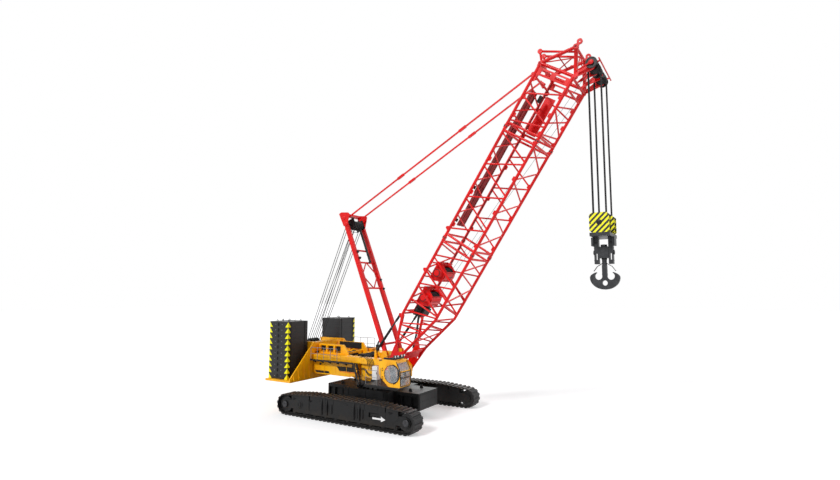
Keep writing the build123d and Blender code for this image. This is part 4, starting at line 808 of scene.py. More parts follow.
def makeNearSide():
    s = nearSet
    trim, dark, hose = [], [], []
    lip = [(.100, 0), (.128, 0), (.128, .014), (.120, .020), (.104, .020), (.100, .012)]
    ring = lathe(lip, 28, "y").mirrored()
    trim.append(ring.spread([(x, s["face"] + .001, s["holeZ"]) for x in s["holes"]]))
    well = lathe([(.097, 0), (.097, .004)], 24, "y")
    dark.append(well.spread([(x, s["face"] + .008, s["holeZ"]) for x in s["holes"]]))
    for x in np.arange(-5.3, 1.1, .775):
        dark.append(headsOn([(x, s["face"], 4.28), (x, s["face"], 3.95)], "y", -1, .016, .012))
    trim.append(block((-5.50, s["tankFace"] - .020, 2.80), (-5.46, s["tankFace"] + .002, 3.82), .004))
    for x in (-4.35, -3.15, -2.0):
        trim.append(block((x, s["tankFace"] - .014, 2.82), (x + .03, s["tankFace"] + .002, 3.80), .003))
    cap = lathe([(.09, 0), (.09, .03), (.07, .045), (.03, .05)], 24, "y").mirrored()
    dark.append(cap.spread([(-4.75, s["tankFace"], 3.55), (-1.35, s["tankFace"], 3.60)]))
    for k in range(5):
        x = .15 + .14 * k
        path = bent([(x - .9, -1.95, 4.34 + .02 * k), (x - .4, -2.04, 4.46 + .03 * k), (x, -2.13, 4.2),
                     (x + .06, -2.13, 3.9), (x + .10, -2.05, 3.42)], .22, 7)
        hose.append(sweep(path, circle(.021, 9), (0, 1, .05)))
    for k in range(3):
        z = 2.98 + .07 * k
        path = bent([(-.62, -1.86, z + .4), (-.3, -1.86, z + .42), (.1, -1.86, z), (.62, -1.86, z)], .15, 5)
        hose.append(sweep(path, circle(.018, 8), (0, 1, 0)))
    for x in np.arange(-5.2, -1.0, .82):
        bracket = plate([(-2.082, 3.82), (-2.46, 3.82), (-2.44, 3.79), (-2.082, 3.62)], .02, .003, "x")
        dark.append(bracket.moved(x, 0, 0))
    dark.append(block((-5.50, -2.497, 3.891), (-.97, -2.490, 3.97), .002))
    for z in (2.85, 3.7):
        dark.append(block((.905, -2.507, z + .08), (.925, -2.499, z + .16), .002))
    dark.append(block((1.30, -2.508, 3.28), (1.34, -2.499, 3.42), .002))
    makePiece("nearTrim", trim, "yellow", "upper")
    makePiece("nearFittings", dark, "winch", "upper")
    makePiece("deckHoses", hose, "hose", "upper")
    slope, low, strip = [plate(s[key], .008, .002, "y").moved(0, s["tankFace"] - .007, 0)
                         for key in ("slope", "low", "strip")]
    makePiece("blankPlates", [slope, low], "seat", "upper")
    makePiece("plateStrip", strip, "red", "upper")


makeNearSide()

# Round hand rails with posts, knee rails and foot flanges, in place of the square ones
railSet = {"radius": .021, "knee": .515, "top": 1.02}


def railRun(x0, x1, y, low, posts):
    s = railSet
    parts = [tube([(x0, y, low + s["top"]), (x1, y, low + s["top"])], s["radius"], 10),
             tube([(x0, y, low + s["knee"]), (x1, y, low + s["knee"])], s["radius"] * .8, 8)]
    post = lathe([(.045, 0), (.045, .012), (s["radius"], .014), (s["radius"], s["top"] - .01)], 10)
    parts.append(post.spread([(x, y, low) for x in np.linspace(x0 + .02, x1 - .02, posts)]))
    return joined(parts)


rails = [railRun(-5.45, -2.6, -2.46, 3.89, 5), railRun(-5.15, -2.75, 2.80, 4.35, 4)]
makePiece("roundRails", rails, "rail", "upper", replaced=["hand_rails"])

# Dark sheets behind the windows of the rear cheeks: painted shade in the openings
windowShade = block((-5.44, -1.174, 4.56), (-2.98, -1.164, 5.10), .003)
makePiece("cheekWindowShade", windowShade.both(), "seat", "upper")

# Counterweight: lifting eyes, tie rods, grommets in the side groove, an antenna and tray webs
weightSet = {"top": 7.05, "low": 2.45, "outer": 4.29, "slab": .46}


def makeWeights():
    s = weightSet
    top, low, outer = s["top"], s["low"], s["outer"]
    steel = []
    for x, y in ((-7.95, 2.5), (-7.95, 3.85), (-6.65, 2.5), (-6.65, 3.85)):
        steel.append(eyeRing(.075, .02).moved(x, y, top + .05))
        steel.append(block((x - .09, y - .04, top - .002), (x + .09, y + .04, top + .02), .004))
    dots = np.arange(10) * s["slab"] + low + .23
    grommet = lathe([(.045, 0), (.045, .014), (.03, .02), (.018, .012)], 16, "y")
    steel.append(grommet.spread([(-7.30, outer - .060, z) for z in dots]))
    for y in (2.32, 3.90):
        steel.append(block((-6.243, y, 2.46), (-6.22, y + .12, 7.04), .004))
    steel.append(block((-7.385, outer - .070, low + .01), (-7.215, outer - .061, top - .01), .002))
    makePiece("weightSteel", joined(steel).both(), "winch", "upper")
    bolts = [(x, outer, z) for x in (-7.66, -6.94) for z in dots]
    makePiece("weightBolts", headsOn(bolts, "y", 1, .034, .014).both(), "rail", "upper")
    aerial = lathe([(.03, 0), (.03, .06), (.009, .08), (.007, .75), (.004, .78)], 8)
    lamp = lathe([(.06, 0), (.06, .03), (.05, .035), (.05, .13), (.035, .15)], 16)
    makePiece("weightAerial", [aerial.moved(-6.6, -3.2, top - .002), lamp.moved(-8.1, -3.1, top - .002)],
              "seat", "upper")
    webs = [plate([(0, 0), (.16, 0), (0, rise)], .03, .004, "y").moved(-5.585, y, 2.452)
            for y, rise in ((2.5, 2.15), (3.1, 1.55), (3.7, 1.0), (4.25, .5))]
    trim = [joined(webs).both()]
    for y in (-1.2, -.4, .4, 1.2):
        trim.append(block((-5.585, y - .02, 2.47), (-5.55, y + .02, 3.18), .004))
    trim.append(headsOn(grid(-5.583, np.linspace(-1.6, 1.6, 9), 3.12), "x", 1, .022, .018))
    makePiece("trayWebs", trim, "yellow", "upper")


makeWeights()
print("stage: superstructure")

# Cab fittings: gaskets, wiper, mirror, lamps, pillar, roof hatch, handle, grab rail and controls
cabSet = {"front": 4.64, "out": -4.30, "inner": -2.90, "top": 4.72, "doorX": 3.93, "doorZ": 3.74,
          "glass": .62, "lamps": (-4.18, -3.84, -3.36, -3.02), "lampX": 4.05, "railY": -4.20}


def makeCab():
    s = cabSet
    x, out, inner, top, doorX, doorZ = [s[k] for k in ("front", "out", "inner", "top", "doorX", "doorZ")]
    ring = eyeRing(s["glass"] - .004, .016, 48, 8).moved(doorX, out + .004, doorZ)
    turn = np.radians(np.linspace(-78, 84, 22))
    rim = np.stack([np.cos(turn), np.sin(turn)], -1)
    arc = plate(np.concatenate([.687 * rim, .626 * rim[::-1]]) + [doorX, doorZ], .010, .002, "y")
    heads = headsOn(ringPlaces(doorX, doorZ, .655, 20, out), "y", -1, .009, .007)
    grip = bent([(4.42, out + .01, 3.40), (4.42, out - .06, 3.42), (4.46, out - .06, 3.62),
                 (4.46, out + .01, 3.64)], .03, 4)
    door = [ring, arc.moved(0, out - .0095, 0), heads, sweep(grip, circle(.013, 8), (1, 0, 0))]
    makePiece("doorSeal", door, "seat", "door")
    dark, lenses, rail = [], [], []
    for y in (out + .03, inner - .075):
        dark.append(block((x - .002, y, 2.96), (x + .012, y + .045, 3.90), .004))
    for z0, z1 in ((2.93, 2.965), (3.872, 3.91)):
        dark.append(block((x - .002, out + .03, z0), (x + .012, inner - .03, z1), .004))
    dark.append(tube([(x + .03, -3.30, 2.99), (x + .035, -3.52, 3.40), (x + .03, -3.62, 3.78)], .009, 8))
    dark.append(block((x + .012, -3.66, 3.36), (x + .030, -3.64, 3.88), .003))
    mirrorArm = bent([(x - .12, out + .02, 4.30), (x + .02, out - .16, 4.34), (x + .10, out - .30, 4.30),
                      (x + .10, out - .30, 3.88)], .08, 5)
    rail.append(sweep(mirrorArm, circle(.014, 8), (1, 0, .2)))
    dark.append(block((x + .07, out - .42, 3.72), (x + .10, out - .20, 4.16), .012))
    can = lathe([(.055, 0), (.085, .02), (.088, .10), (.080, .115)], 20, "x")
    lens = lathe([(.078, .114), (.074, .124), (.03, .130)], 20, "x")
    for y in s["lamps"]:
        dark.append(can.moved(s["lampX"], y, top + .22))
        dark.append(block((4.06, y - .02, top + .12), (4.10, y + .02, top + .16), .004))
        lenses.append(lens.moved(s["lampX"], y, top + .22))
    dark.append(block((3.25, -3.95, top - .002), (3.85, -3.25, top + .035), .012))
    dark.append(block((3.2, -3.9, top + .13), (3.24, -3.3, top + .16), .004))
    for z in (3.0, 4.62):
        dark.append(block((2.86, out - .012, z - .02), (3.15, out + .002, z + .02), .003))
    grab = bent([(3.02, out + .005, 3.05), (3.02, out - .09, 3.08), (3.02, out - .09, 4.05),
                 (3.02, out + .005, 4.08)], .05, 4)
    rail.append(sweep(grab, circle(.015, 8), (1, 0, 0)))
    for y in (out + .042, inner - .042):
        dark.append(tube([(x, y, 2.97), (x, y, 3.92), (x - .33, y, 4.56), (x - .62, y, 4.70)], .036, 12))
    dark.append(block((1.52, out - .01, 2.66), (4.34, out + .06, 2.70), .004))
    for px in (1.6, 2.6):
        rail.append(tube([(px, s["railY"], 2.85), (px, s["railY"], 3.86)], .018, 8))
    for z, radius in ((3.86, .018), (3.36, .015)):
        rail.append(tube([(1.6, s["railY"], z), (2.6, s["railY"], z)], radius, 8))
    for px, mid, y in ((3.98, 4.0, -3.22), (4.0, 4.02, -3.97)):
        dark.append(tube([(px, y, 3.47), (mid, y, 3.60), (px + .05, y, 3.66)], .014, 8))
        dark.append(lathe([(.02, 0), (.032, .03), (.03, .07), (.015, .09)], 12).moved(px + .05, y, 3.65))
    dark.append(block((4.30, -3.42, 3.55), (4.34, -3.10, 3.80), .010))
    dark.append(tube([(4.32, -3.26, 2.95), (4.32, -3.26, 3.58)], .02, 8))
    makePiece("cabFittings", dark, "seat", "upper")
    makePiece("cabRails", rail, "rail", "upper")
    makePiece("lampLenses", lenses, "white", "upper")


makeCab()
print("stage: cab")

# Mast head: grooved sheaves, pin caps and the luffing ropes down to the rear block
mastSet = {"sheaveX": 11.258, "radius": .40, "places": (-.56, -.28, 0, .28, .56), "half": .12,
           "blockX": -7.5, "blockZ": 4.96, "blockRadius": .43, "ropeRadius": .025}


def makeMast():
    s = mastSet
    wheel = lathe(sheaveProfile(s["radius"] - .002, s["half"] - .004, 3), 36, "y")
    stack = [wheel.spread([(s["sheaveX"], y, 0) for y in s["places"]])]
    axle = lathe([(.075, -.965), (.075, -.70), (.12, -.70), (.12, .70), (.075, .70), (.075, .965)], 24, "y")
    stack.append(axle.moved(s["sheaveX"], 0, 0))
    makePiece("mastSheaves", onMast(stack), "sheave", "mast", replaced=["mast_sheaves"])
    cap = lathe([(.17, 0), (.17, .02), (.14, .035), (.06, .04)], 28, "y")
    caps = [cap.moved(x, 1.249, 0).both() for x in (s["sheaveX"], 11.818)]
    spots = [(10.98, -.25), (11.55, -.50), (12.05, -.52), (12.28, .05), (12.25, .26), (11.35, .2)]
    caps.append(headsOn([(x, 1.25, h) for x, h in spots], "y", 1, .024, .018).both())
    for x in (2.0, 3.7, 5.45, 7.75, 8.85):
        caps.append(block((x - .13, 1.209, -.15), (x + .13, 1.222, .15), .004).both())
        caps.append(block((x - .13, .956, -.13), (x + .13, .972, .13), .004).both())
    makePiece("mastCaps", onMast(caps), "red", "mast")
    dark = [block((10.75, -.62, -.55), (11.75, -.58, -.30), .01)]
    for y in (-.70, .70):
        dark.append(block((10.85, y - .012, -.47), (11.66, y + .012, .44), .005))
    bars = tube([(11.66, -.70, .43), (11.66, .70, .43)], .02, 8)
    dark.append(bars)
    dark.append(bars.moved(-.80, 0, 0))
    rodEnd = lathe([(.108, 0), (.112, .01), (.112, .06), (.10, .07)], 24, "x")
    dark.append(rodEnd.moved(8.4, .33, -.20))
    dark.append(rodEnd.moved(9.9, .33, -.20))
    hose = bent([(8.2, .33, -.30), (8.3, .20, -.34), (9.4, .18, -.36), (9.9, .28, -.31)], .15, 5)
    dark.append(sweep(hose, circle(.016, 8), (0, 0, 1)))
    for x, y in ((8.62, -1.0), (8.05, -1.0), (6.12, 1.0), (5.30, 1.0)):
        dark.append(block((x - .10, y - .06, -.30), (x + .10, y + .06, -.178), .012))
        dark.append(block((x - .05, y - .03, -.38), (x + .05, y + .03, -.29), .008))
    makePiece("mastDark", onMast(dark), "winch", "mast")
    lean = math.radians(tiltSet["mastAngle"])
    mastX, mastZ = tiltSet["mastFoot"][::2]
    head = np.array([mastX + math.cos(lean) * s["sheaveX"], mastZ + math.sin(lean) * s["sheaveX"]])
    foot = np.array([s["blockX"], s["blockZ"]])
    way = (foot - head) / np.linalg.norm(foot - head)
    across = np.array([-way[1], way[0]])
    spots = [(-.375, -.60), (-.125, -.32), (.125, .32), (.375, .60)]
    for name, side in (("luffRopesFront", -1), ("luffRopesRear", 1)):
        lines = []
        for low, high in spots:
            top = head + across * side * (s["radius"] - .02)
            base = foot + across * side * (s["blockRadius"] - .02)
            t = np.linspace(0, 1, 25)[:, None]
            start, end = np.array([top[0], high, top[1]]), np.array([base[0], low, base[1]])
            lines.append(tube(start + (end - start) * t, s["ropeRadius"], 8, True))
        ropes = makePiece(name, lines, "rope", None)
        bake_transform(ropes)


makeMast()

# Rear luffing block: grooved sheaves between its cheeks, caps and rope guards
blockSet = {"x": -7.5, "z": 4.96, "radius": .43, "places": (-.375, -.125, .125, .375), "half": .06}


def makeLuffBlock():
    s = blockSet
    wheel = lathe(sheaveProfile(s["radius"] + .004, s["half"] + .004, 1), 36, "y")
    parts = [wheel.spread([(s["x"], y, s["z"]) for y in s["places"]])]
    cap = lathe([(.13, .60), (.13, .62), (.10, .64), (.04, .645)], 24, "y")
    parts.append(cap.moved(s["x"], 0, s["z"]).both())
    parts.append(headsOn(grid((s["x"] - .15, s["x"] + .15), .60, (4.5, 5.18)), "y", 1, .02, .016).both())
    for dx, z in ((-.19, 5.16), (.19, 5.16), (.19, 4.56)):
        parts.append(tube([(s["x"] + dx, -.51, z), (s["x"] + dx, .51, z)], .022, 8))
    makePiece("luffBlockParts", parts, "winch", "upper")


makeLuffBlock()
print("stage: mast")

# Boom: chord pins and gussets, node plates, winch ropes up to the tip, cable run, small lugs and brackets
boomSet = {"chordY": 1.549, "top": 1.30, "low": -1.338, "chord": .110, "joints": (11.475, 20.52),
           "winches": ((8.80, .64), (6.60, .64)), "tipX": 26.35, "tipH": -2.016, "tipRadius": .37}


def collarPin(radius, half):
    end = [(radius * .7, -half), (radius, -half + .012), (radius, -half + .05), (radius * .8, -half + .055)]
    return lathe(end + [(r, -y) for r, y in end[::-1]], 16, "y")


def makeBoom():
    s = boomSet
    chordY, top, low, chord = s["chordY"], s["top"], s["low"], s["chord"]
    sides = (-chordY, chordY)
    spots = [(x, y, h + dh) for x in s["joints"] for h in (top, low) for y in sides for dh in (-.075, .075)]
    makePiece("chordPins", onBoom(collarPin(.058, .115).spread(spots)), "hook", "boom")
    node = plate([(-.24, -.10), (.24, -.10), (.13, .15), (-.13, .15)], .020, .003, "y").moved(0, -.01, 0)
    hanging = node.turned("x", 180)
    plates = []
    for x in np.concatenate([12.2 + 2.689 * np.arange(4), 21.0 + 1.35 * np.arange(3)]):
        for y in sides:
            plates += [node.moved(x, y, low + chord * .9), hanging.moved(x + .45, y, top - chord * .9)]
    collar = lathe([(.111, 0), (.128, .012), (.128, .06), (.111, .072)], 20, "x")
    plates.append(collar.spread([(x + dx, y, h) for x in s["joints"] for h in (top, low) for y in sides
                                 for dx in (-.30, .225)]))
    lug = plate([(-.20, 0), (.20, 0), (.06, .22), (-.06, .22)], .03, .004, "y")
    plates += [lug.moved(x, -chordY - .015, top + chord * .9) for x in (12.2, 8.6)]
    makePiece("boomGussets", onBoom(plates), "red", "boom")
    y = chordY - .135
    path = np.stack([np.linspace(5.95, 24.9, 3), np.full(3, y), np.full(3, top - .06)], -1)
    dark = [tube(path, .018, 8), tube(path - np.array([0, 0, .05]), .012, 8)]
    clips = block((-.03, y - .03, top - .14), (.03, y + .035, top - .03), .004)
    dark.append(clips.spread([(x, 0, 0) for x in np.arange(6.45, 24.9, 1.35)]))
    for x in (12.9, 15.6):
        dark.append(block((x, -chordY + .095, top - .20), (x + .24, -chordY + .17, top - .06), .01))
    dark.append(block((23.2, .55, top - .30), (23.7, .95, top - .12), .012))
    makePiece("boomCables", onBoom(dark), "hose", "boom")
    end = s["tipH"] + s["tipRadius"] - .02
    ropes = [tube([(x + .1, y, top - drop - .44), (s["tipX"] - .2, tipY, end)], .013, 8, True)
             for (x, drop), y, tipY in zip(s["winches"], (-.05, .1), (-.58, .62))]
    makePiece("boomRopes", onBoom(ropes), "ropeGrey", "boom")


makeBoom()

# Boom winches: rope layers, bolted flanges, red casings with end drives and motors
winchSet = {"places": (8.80, 6.60), "core": .405, "rope": .018, "low": -.70, "high": .56, "near": -.815,
            "casing": [(.35, 0), (.365, .02), (.365, .26), (.33, .31), (.33, .38), (.21, .40), (.19, .43)],
            "motor": [(.12, 0), (.12, .16), (.10, .18), (.10, .26), (.06, .28)],
            "cheek": [(-.74, .52), (.74, .52), (.74, .12), (.42, -.56), (-.42, -.56), (-.74, .12)],
            "ties": ((-.70, .48), (.70, .48), (.70, .10), (-.70, .10), (-.40, -.54), (.40, -.54))}


def makeBoomWinches(h):
    s = winchSet
    ropes, steel, red = [], [], []
    for x in s["places"]:
        ropes.append(woundRope(s["core"], s["rope"], s["low"] + .006, s["high"] - .006, 36).moved(x, 0, h))
        for y, side in ((-.76, -1), (.62, 1)):
            steel.append(headsOn(ringPlaces(x, h, .44, 14, y), "y", side, .016, .012))
            rim = lathe([(.455, 0), (.502, 0), (.502, .018), (.455, .018)], 36, "y")
            steel.append(rim.moved(x, y if side > 0 else y - .018, h))
        red.append(lathe(s["casing"], 32, "y").mirrored().moved(x, -.765, h))
        steel.append(lathe(s["motor"], 20, "y").moved(x + .12, .62, h + .10))
        steel.append(headsOn(ringPlaces(x, h, .28, 10, -1.145), "y", -1, .018, .014))
        cheek = plate(s["cheek"], .024, .005, "y")
        red += [cheek.moved(x, s["near"], h), cheek.moved(x, .66, h)]
        for dx, dz in s["ties"]:
            red.append(tube([(x + dx, -.80, h + dz), (x + dx, .67, h + dz)], .028, 8))
            steel.append(headsOn([(x + dx * .96, s["near"], h + dz * .96)], "y", -1, .022, .016))
        red.append(plate([(-.70, .50), (.70, .50), (.58, .44), (-.58, .44)], 1.44, .006, "y").moved(x, -.79, h))
        turn = np.radians(np.linspace(178, 302, 20))
        belly = np.stack([np.cos(turn), np.sin(turn)], -1)
        shell = np.concatenate([.60 * belly[::-1], .622 * belly])[::-1]
        red.append(plate(shell, 1.45, .002, "y").moved(x, -.79, h))
        for a in np.radians((200, 235, 270)):
            barX, barZ = x + .622 * math.cos(a), h + .622 * math.sin(a)
            steel.append(tube([(barX, -.6, barZ), (barX, .5, barZ)], .020, 8))
        hose = bent([(x + .12, .86, h + .16), (x + .12, 1.05, h + .30), (x + .5, 1.20, h + .45),
                     (x + .9, 1.36, h + .52)], .12, 5)
        steel.append(sweep(hose, circle(.019, 8), (0, .2, 1)))
    makePiece("winchRopes", onBoom(ropes), "rope", "boom")
    makePiece("winchSteel", onBoom(steel), "winch", "boom")
    makePiece("winchCasings", onBoom(red), "red", "boom")


makeBoomWinches(1.30 - .64)

# Boom tip: grooved sheaves on one shaft, shaft nuts, lug caps, bracing round the head
tipSet = {"x": 26.35, "h": -2.016, "radius": .369, "half": 1.25,
          "rows": ((0, .055, 1), (.905, .26, 4), (1.27, .06, 1), (1.79, .06, 1)),
          "knee": (25.32, 1.48), "nose": (27.10, -.29), "heel": (25.305, -1.338), "mid": (26.2, .60)}


def strut(first, firstY, second, secondY, radius, sides):
    return tube([(first[0], firstY, first[1]), (second[0], secondY, second[1])], radius, sides)


def makeTip():
    s = tipSet
    parts = []
    for y, half, grooves in s["rows"]:
        wheel = lathe(sheaveProfile(s["radius"], half, grooves), 36, "y").moved(s["x"], y, s["h"])
        parts.append(wheel if y == 0 else wheel.both())
    parts.append(lathe([(.095, -1.735), (.095, 1.735)], 24, "y").moved(s["x"], 0, s["h"]))
    parts.append(lathe([(.105, 1.85), (.105, 1.88), (.08, 1.90)], 6, "y").moved(s["x"], 0, s["h"]).both())
    makePiece("tipSheaves", onBoom(parts), "sheave", "boom", replaced=["tip_sheaves"])
    knee, nose, heel, mid, half = [s[k] for k in ("knee", "nose", "heel", "mid", "half")]
    cap = lathe([(.085, 0), (.085, .016), (.06, .028), (.03, .03)], 20, "y")
    trim = [cap.moved(x, y, h).both() for (x, h), y in ((nose, 1.366), (heel, 1.341), (knee, 1.336))]
    for x, h in ((25.6, -1.55), (25.95, -1.86), (26.2, -2.18)):
        trim.append(headsOn([(x, 1.594, h)], "y", 1, .026, .02).both())
    trim.append(lathe([(.05, -.012), (.05, .012)], 12, "y").moved(26.72, 1.6, -2.39).both())
    makePiece("tipCaps", onBoom(trim), "redDeep", "boom")
    arms = []
    boss = lathe([(.16, 0), (.16, .03), (.12, .05), (.05, .055)], 24, "y")
    for side in (-1, 1):
        edge = side * half
        arms += [strut(knee, edge, nose, -side * .40, .042, 10), strut(heel, edge, nose, 0, .042, 10)]
        arms += [strut(spot, side * y, spot, -side * y, .042, 10) for spot, y in ((knee, 1.16), (mid, 1.20))]
        lug = plate([(-.10, 0), (.10, 0), (.04, .16), (-.04, .16)], .025, .003, "y")
        arms += [lug.moved(x, edge - .012, h + .06) for x, h in ((25.9, .90), (26.5, .31))]
        arms += [strut(a, edge, b, edge, .120, 14) for a, b in ((knee, nose), (nose, heel), (heel, knee))]
        arms.append(strut((25.55, -1.42), side * 1.80, (s["x"] - .02, s["h"]), side * 1.905, .060, 12))
        arms.append((boss if side > 0 else boss.mirrored()).moved(s["x"], side * 1.898, s["h"]))
    arms += [strut(spot, -half, spot, half, .090, 12) for spot in (nose, knee)]
    makePiece("tipBracing", onBoom(arms), "red", "boom")


makeTip()

# Heavier tubes round the end frames of the boom sections
frameSet = {"stations": (11.175, 11.775, 20.22, 20.82), "radius": .085, "strut": .070,
            "struts": ((6.12, 6.22), (7.30, 6.30), (8.6, 7.6))}


def makeEndFrames():
    y, top, low = boomSet["chordY"], boomSet["top"], boomSet["low"]
    corners = [(-y, top), (y, top), (y, low), (-y, low)]
    parts = []
    for x in frameSet["stations"]:
        for (y0, h0), (y1, h1) in zip(corners, corners[1:] + corners[:1]):
            parts.append(tube([(x, y0, h0), (x, y1, h1)], frameSet["radius"], 12))
    for x0, x1 in frameSet["struts"]:
        parts += [tube([(x0, side, top), (x1, side, low)], frameSet["strut"], 12) for side in (y, -y)]
    makePiece("endFrameTubes", onBoom(parts), "red", "boom")


makeEndFrames()

# Valve stand above the feet: two cross tubes, a block, coolers and hoses to the winches
standSet = {"x": (4.95, 5.85), "h": (.40, 1.02), "half": .72, "hose": .036,
            "beams": ((5.05, 1.29), (5.72, 1.30))}


def makeValveStand():
    s = standSet
    (x0, x1), (h0, h1), half = s["x"], s["h"], s["half"]
    red = [tube([(x, -boomSet["chordY"], h), (x, boomSet["chordY"], h)], .055, 12) for x, h in s["beams"]]
    red += [tube([(x, y, h1 - .05), (x, y, 1.28)], .040, 10) for x, h in s["beams"] for y in (-.6, .6)]
    red.append(block((x0 - .02, -half - .03, h1 - .02), (x1 + .02, half + .03, h1 + .03), .012))
    dark = [block((x0, -half, h0 + .12), (x1, half, h1 - .03), .03)]
    dark.append(block((x0 + .1, -.5, h0 - .10), (x1 - .14, .5, h0 + .13), .02))
    can = lathe([(.05, 0), (.11, .02), (.11, .34), (.06, .37)], 20, "y").mirrored()
    dark.append(can.spread([(x, -half + .01, h0 + .30) for x in (x0 + .18, x0 + .52)]))
    hoses = []
    for k in range(6):
        y = -.42 + .085 * k
        sag = .03 * k
        upper = bent([(x1 - .05, y, h0 + .28), (x1 + .12, y, h0 + .12 - sag), (x1 + .22, y * .9, h0 + .25),
                      (6.2, y * .8, .52)], .06, 5)
        lower = bent([(x0 + .05, y + .2, h0 + .35), (x0 - .35, y + .2, h0 + .2 + sag),
                      (x0 - 1.3, y + .3, h0 - .2 + sag), (x0 - 2.6, y + .5, -.1 + sag)], .2, 5)
        hoses += [sweep(path, circle(s["hose"], 8), (0, 1, 0)) for path in (upper, lower)]
    makePiece("valveFrame", onBoom(red), "red", "boom")
    makePiece("valveBlock", onBoom(dark), "winch", "boom")
    makePiece("valveHoses", onBoom(hoses), "hose", "boom")


makeValveStand()

# Hoist falls: four round ropes at each corner of the block, with the lay of their strands
fallSet = {"x": 17.601998, "topZ": 24.150977, "lowZ": 13.86, "y": .905, "pitch": .13, "radius": .024}


def makeFalls():
    s = fallSet
    places = [(s["x"] + end * reach, side * s["y"] + (k - 1.5) * s["pitch"], 0)
              for side in (-1, 1) for k in range(4) for end, reach in ((-1, s["reach"]), (1, s["reach"]))]
    rope = tube([(0, 0, s["lowZ"] + .002), (0, 0, s["topZ"] - .002)], s["radius"] - .0005, 12, True)
    makePiece("roundFalls", rope.spread(places), "rope", "hook_block", replaced=["hoist_falls"])


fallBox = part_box("hoist_falls")
fallSet["reach"] = fallBox[1][0] - fallSet["x"] - fallSet["radius"]
makeFalls()

# Hook block: sheaves, rope guards, axle caps, bolts, crosshead trim and hook latches
hookSet = {"x": fallSet["x"], "z": 13.86, "radius": .368, "y": .905, "half": .258, "cheek": 1.25,
           "headFace": .581}


def makeHookBlock():
    s = hookSet
    wheel = lathe(sheaveProfile(s["radius"], s["half"], 4), 36, "y").moved(s["x"], s["y"], s["z"]).both()
    pin = lathe([(.10, .60), (.10, 1.21)], 20, "y").moved(s["x"], 0, s["z"]).both()
    makePiece("blockSheaves", joined([wheel, pin]), "sheave", "hook_block", replaced=["block_sheaves"])
    dark = []
    cap = lathe([(.17, 0), (.17, .02), (.145, .035), (.06, .045), (.05, .03)], 32, "y")
    dark.append(cap.moved(s["x"], s["cheek"] - .001, s["z"]).both())
    dark.append(headsOn(ringPlaces(s["x"], s["z"], .115, 8, s["cheek"] + .034), "y", 1, .016, .012).both())
    corners = [(s["x"] + dx, s["cheek"], s["z"] + dz) for dx in (-.52, .52) for dz in (-.54, -.05, .53)]
    dark.append(headsOn(corners, "y", 1, .030, .022).both())
    guard = lathe([(.032, .56), (.032, 1.19)], 12, "y").both()
    dark += [guard.moved(s["x"] + dx, 0, s["z"] + dz) for dx in (-.53, .53) for dz in (-.50, .50)]
    pinHalf = [(.055, -.24), (.07, -.235), (.07, -.205), (.05, -.20)]
    pin = lathe(pinHalf + [(radius, -y) for radius, y in pinHalf[::-1]], 20, "y")
    dark += [pin.moved(s["x"] + dx, 0, 12.65) for dx in (-.45, .45)]
    makePiece("blockFittings", dark, "winch", "hook_block")
    trunnion = lathe([(.12, 0), (.16, .012), (.16, .055), (.13, .07)], 28, "x")
    steel = [trunnion.moved(s["x"] + s["headFace"], 0, 12.02),
             trunnion.turned("z", 180).moved(s["x"] - s["headFace"], 0, 12.02)]
    for end in (-1, 1):
        heads = grid(s["x"] + end * s["headFace"], (-.15, .15), (11.5, 11.9, 12.3))
        steel.append(headsOn(heads, "x", end, .024, .018))
    steel.append(headsOn(grid((s["x"] - .24, s["x"] + .24), (-.18, .18), 12.391), "z", 1, .024, .018))
    makePiece("crossheadTrim", steel, "black", "hook_block")


makeHookBlock()


def makeHookTrim():
    s = hookSet
    parts = []
    nut = lathe([(.150, 0), (.205, .004), (.205, .025), (.165, .03)], 36).moved(s["x"], 0, 12.502)
    parts.append(nut)
    parts.append(lathe([(.175, 0), (.175, .06), (.155, .075)], 36).moved(s["x"], 0, 11.56))
    for end in (-1, 1):
        start, finish = (s["x"] + end * .15, 0, 11.30), (s["x"] + end * .66, 0, 10.83)
        bar = tube([start, ((start[0] + finish[0]) / 2 + end * .05, 0, 11.12), finish], .017, 8)
        parts += [bar.moved(0, -.05, 0), bar.moved(0, .05, 0)]
        parts.append(lathe([(.03, -.075), (.03, .075)], 12, "y").moved(start[0], 0, start[2]))
        parts.append(lathe([(.026, -.07), (.026, .07)], 12, "y").moved(finish[0], 0, finish[2] + .01))
    makePiece("hookLatches", parts, "black", "hook")


makeHookTrim()

# Backstops: a pipe with its clips and an end ring on each barrel, a sleeve on each rod
stopSet = {"foot": (.4, 4.8), "head": (2.70255, 7.773654), "y": 1.315}


def makeBackstops():
    s = stopSet
    dx, dz = s["head"][0] - s["foot"][0], s["head"][1] - s["foot"][1]
    lean = math.degrees(math.atan2(dx, dz))
    pipe = tube([(.107, 0, .5), (.107, 0, 2.2)], .012, 8)
    clips = [block((.085, -.03, z), (.125, .03, z + .05), .004) for z in (.55, 1.35, 2.1)]
    ring = lathe([(.062, 0), (.093, .004), (.093, .03), (.066, .035)], 28).moved(0, 0, 2.352)
    barrel = joined(clips + [pipe, ring]).turned("y", lean).moved(s["foot"][0], s["y"], s["foot"][1])
    makePiece("stopCollars", barrel.both(), "winch", "stop_barrels")
    sleeve = lathe([(.066, 3.06), (.092, 3.07), (.092, 3.60), (.066, 3.64)], 28)
    sleeve = sleeve.turned("y", lean).moved(s["foot"][0], s["y"], s["foot"][1])
    makePiece("stopSleeves", sleeve.both(), "winch", "stop_rods")


makeBackstops()

# Pendants: pin caps at both ends
staySet = {"low": (-3.188, 15.706), "high": (13.462781, 24.728534), "y": .843}


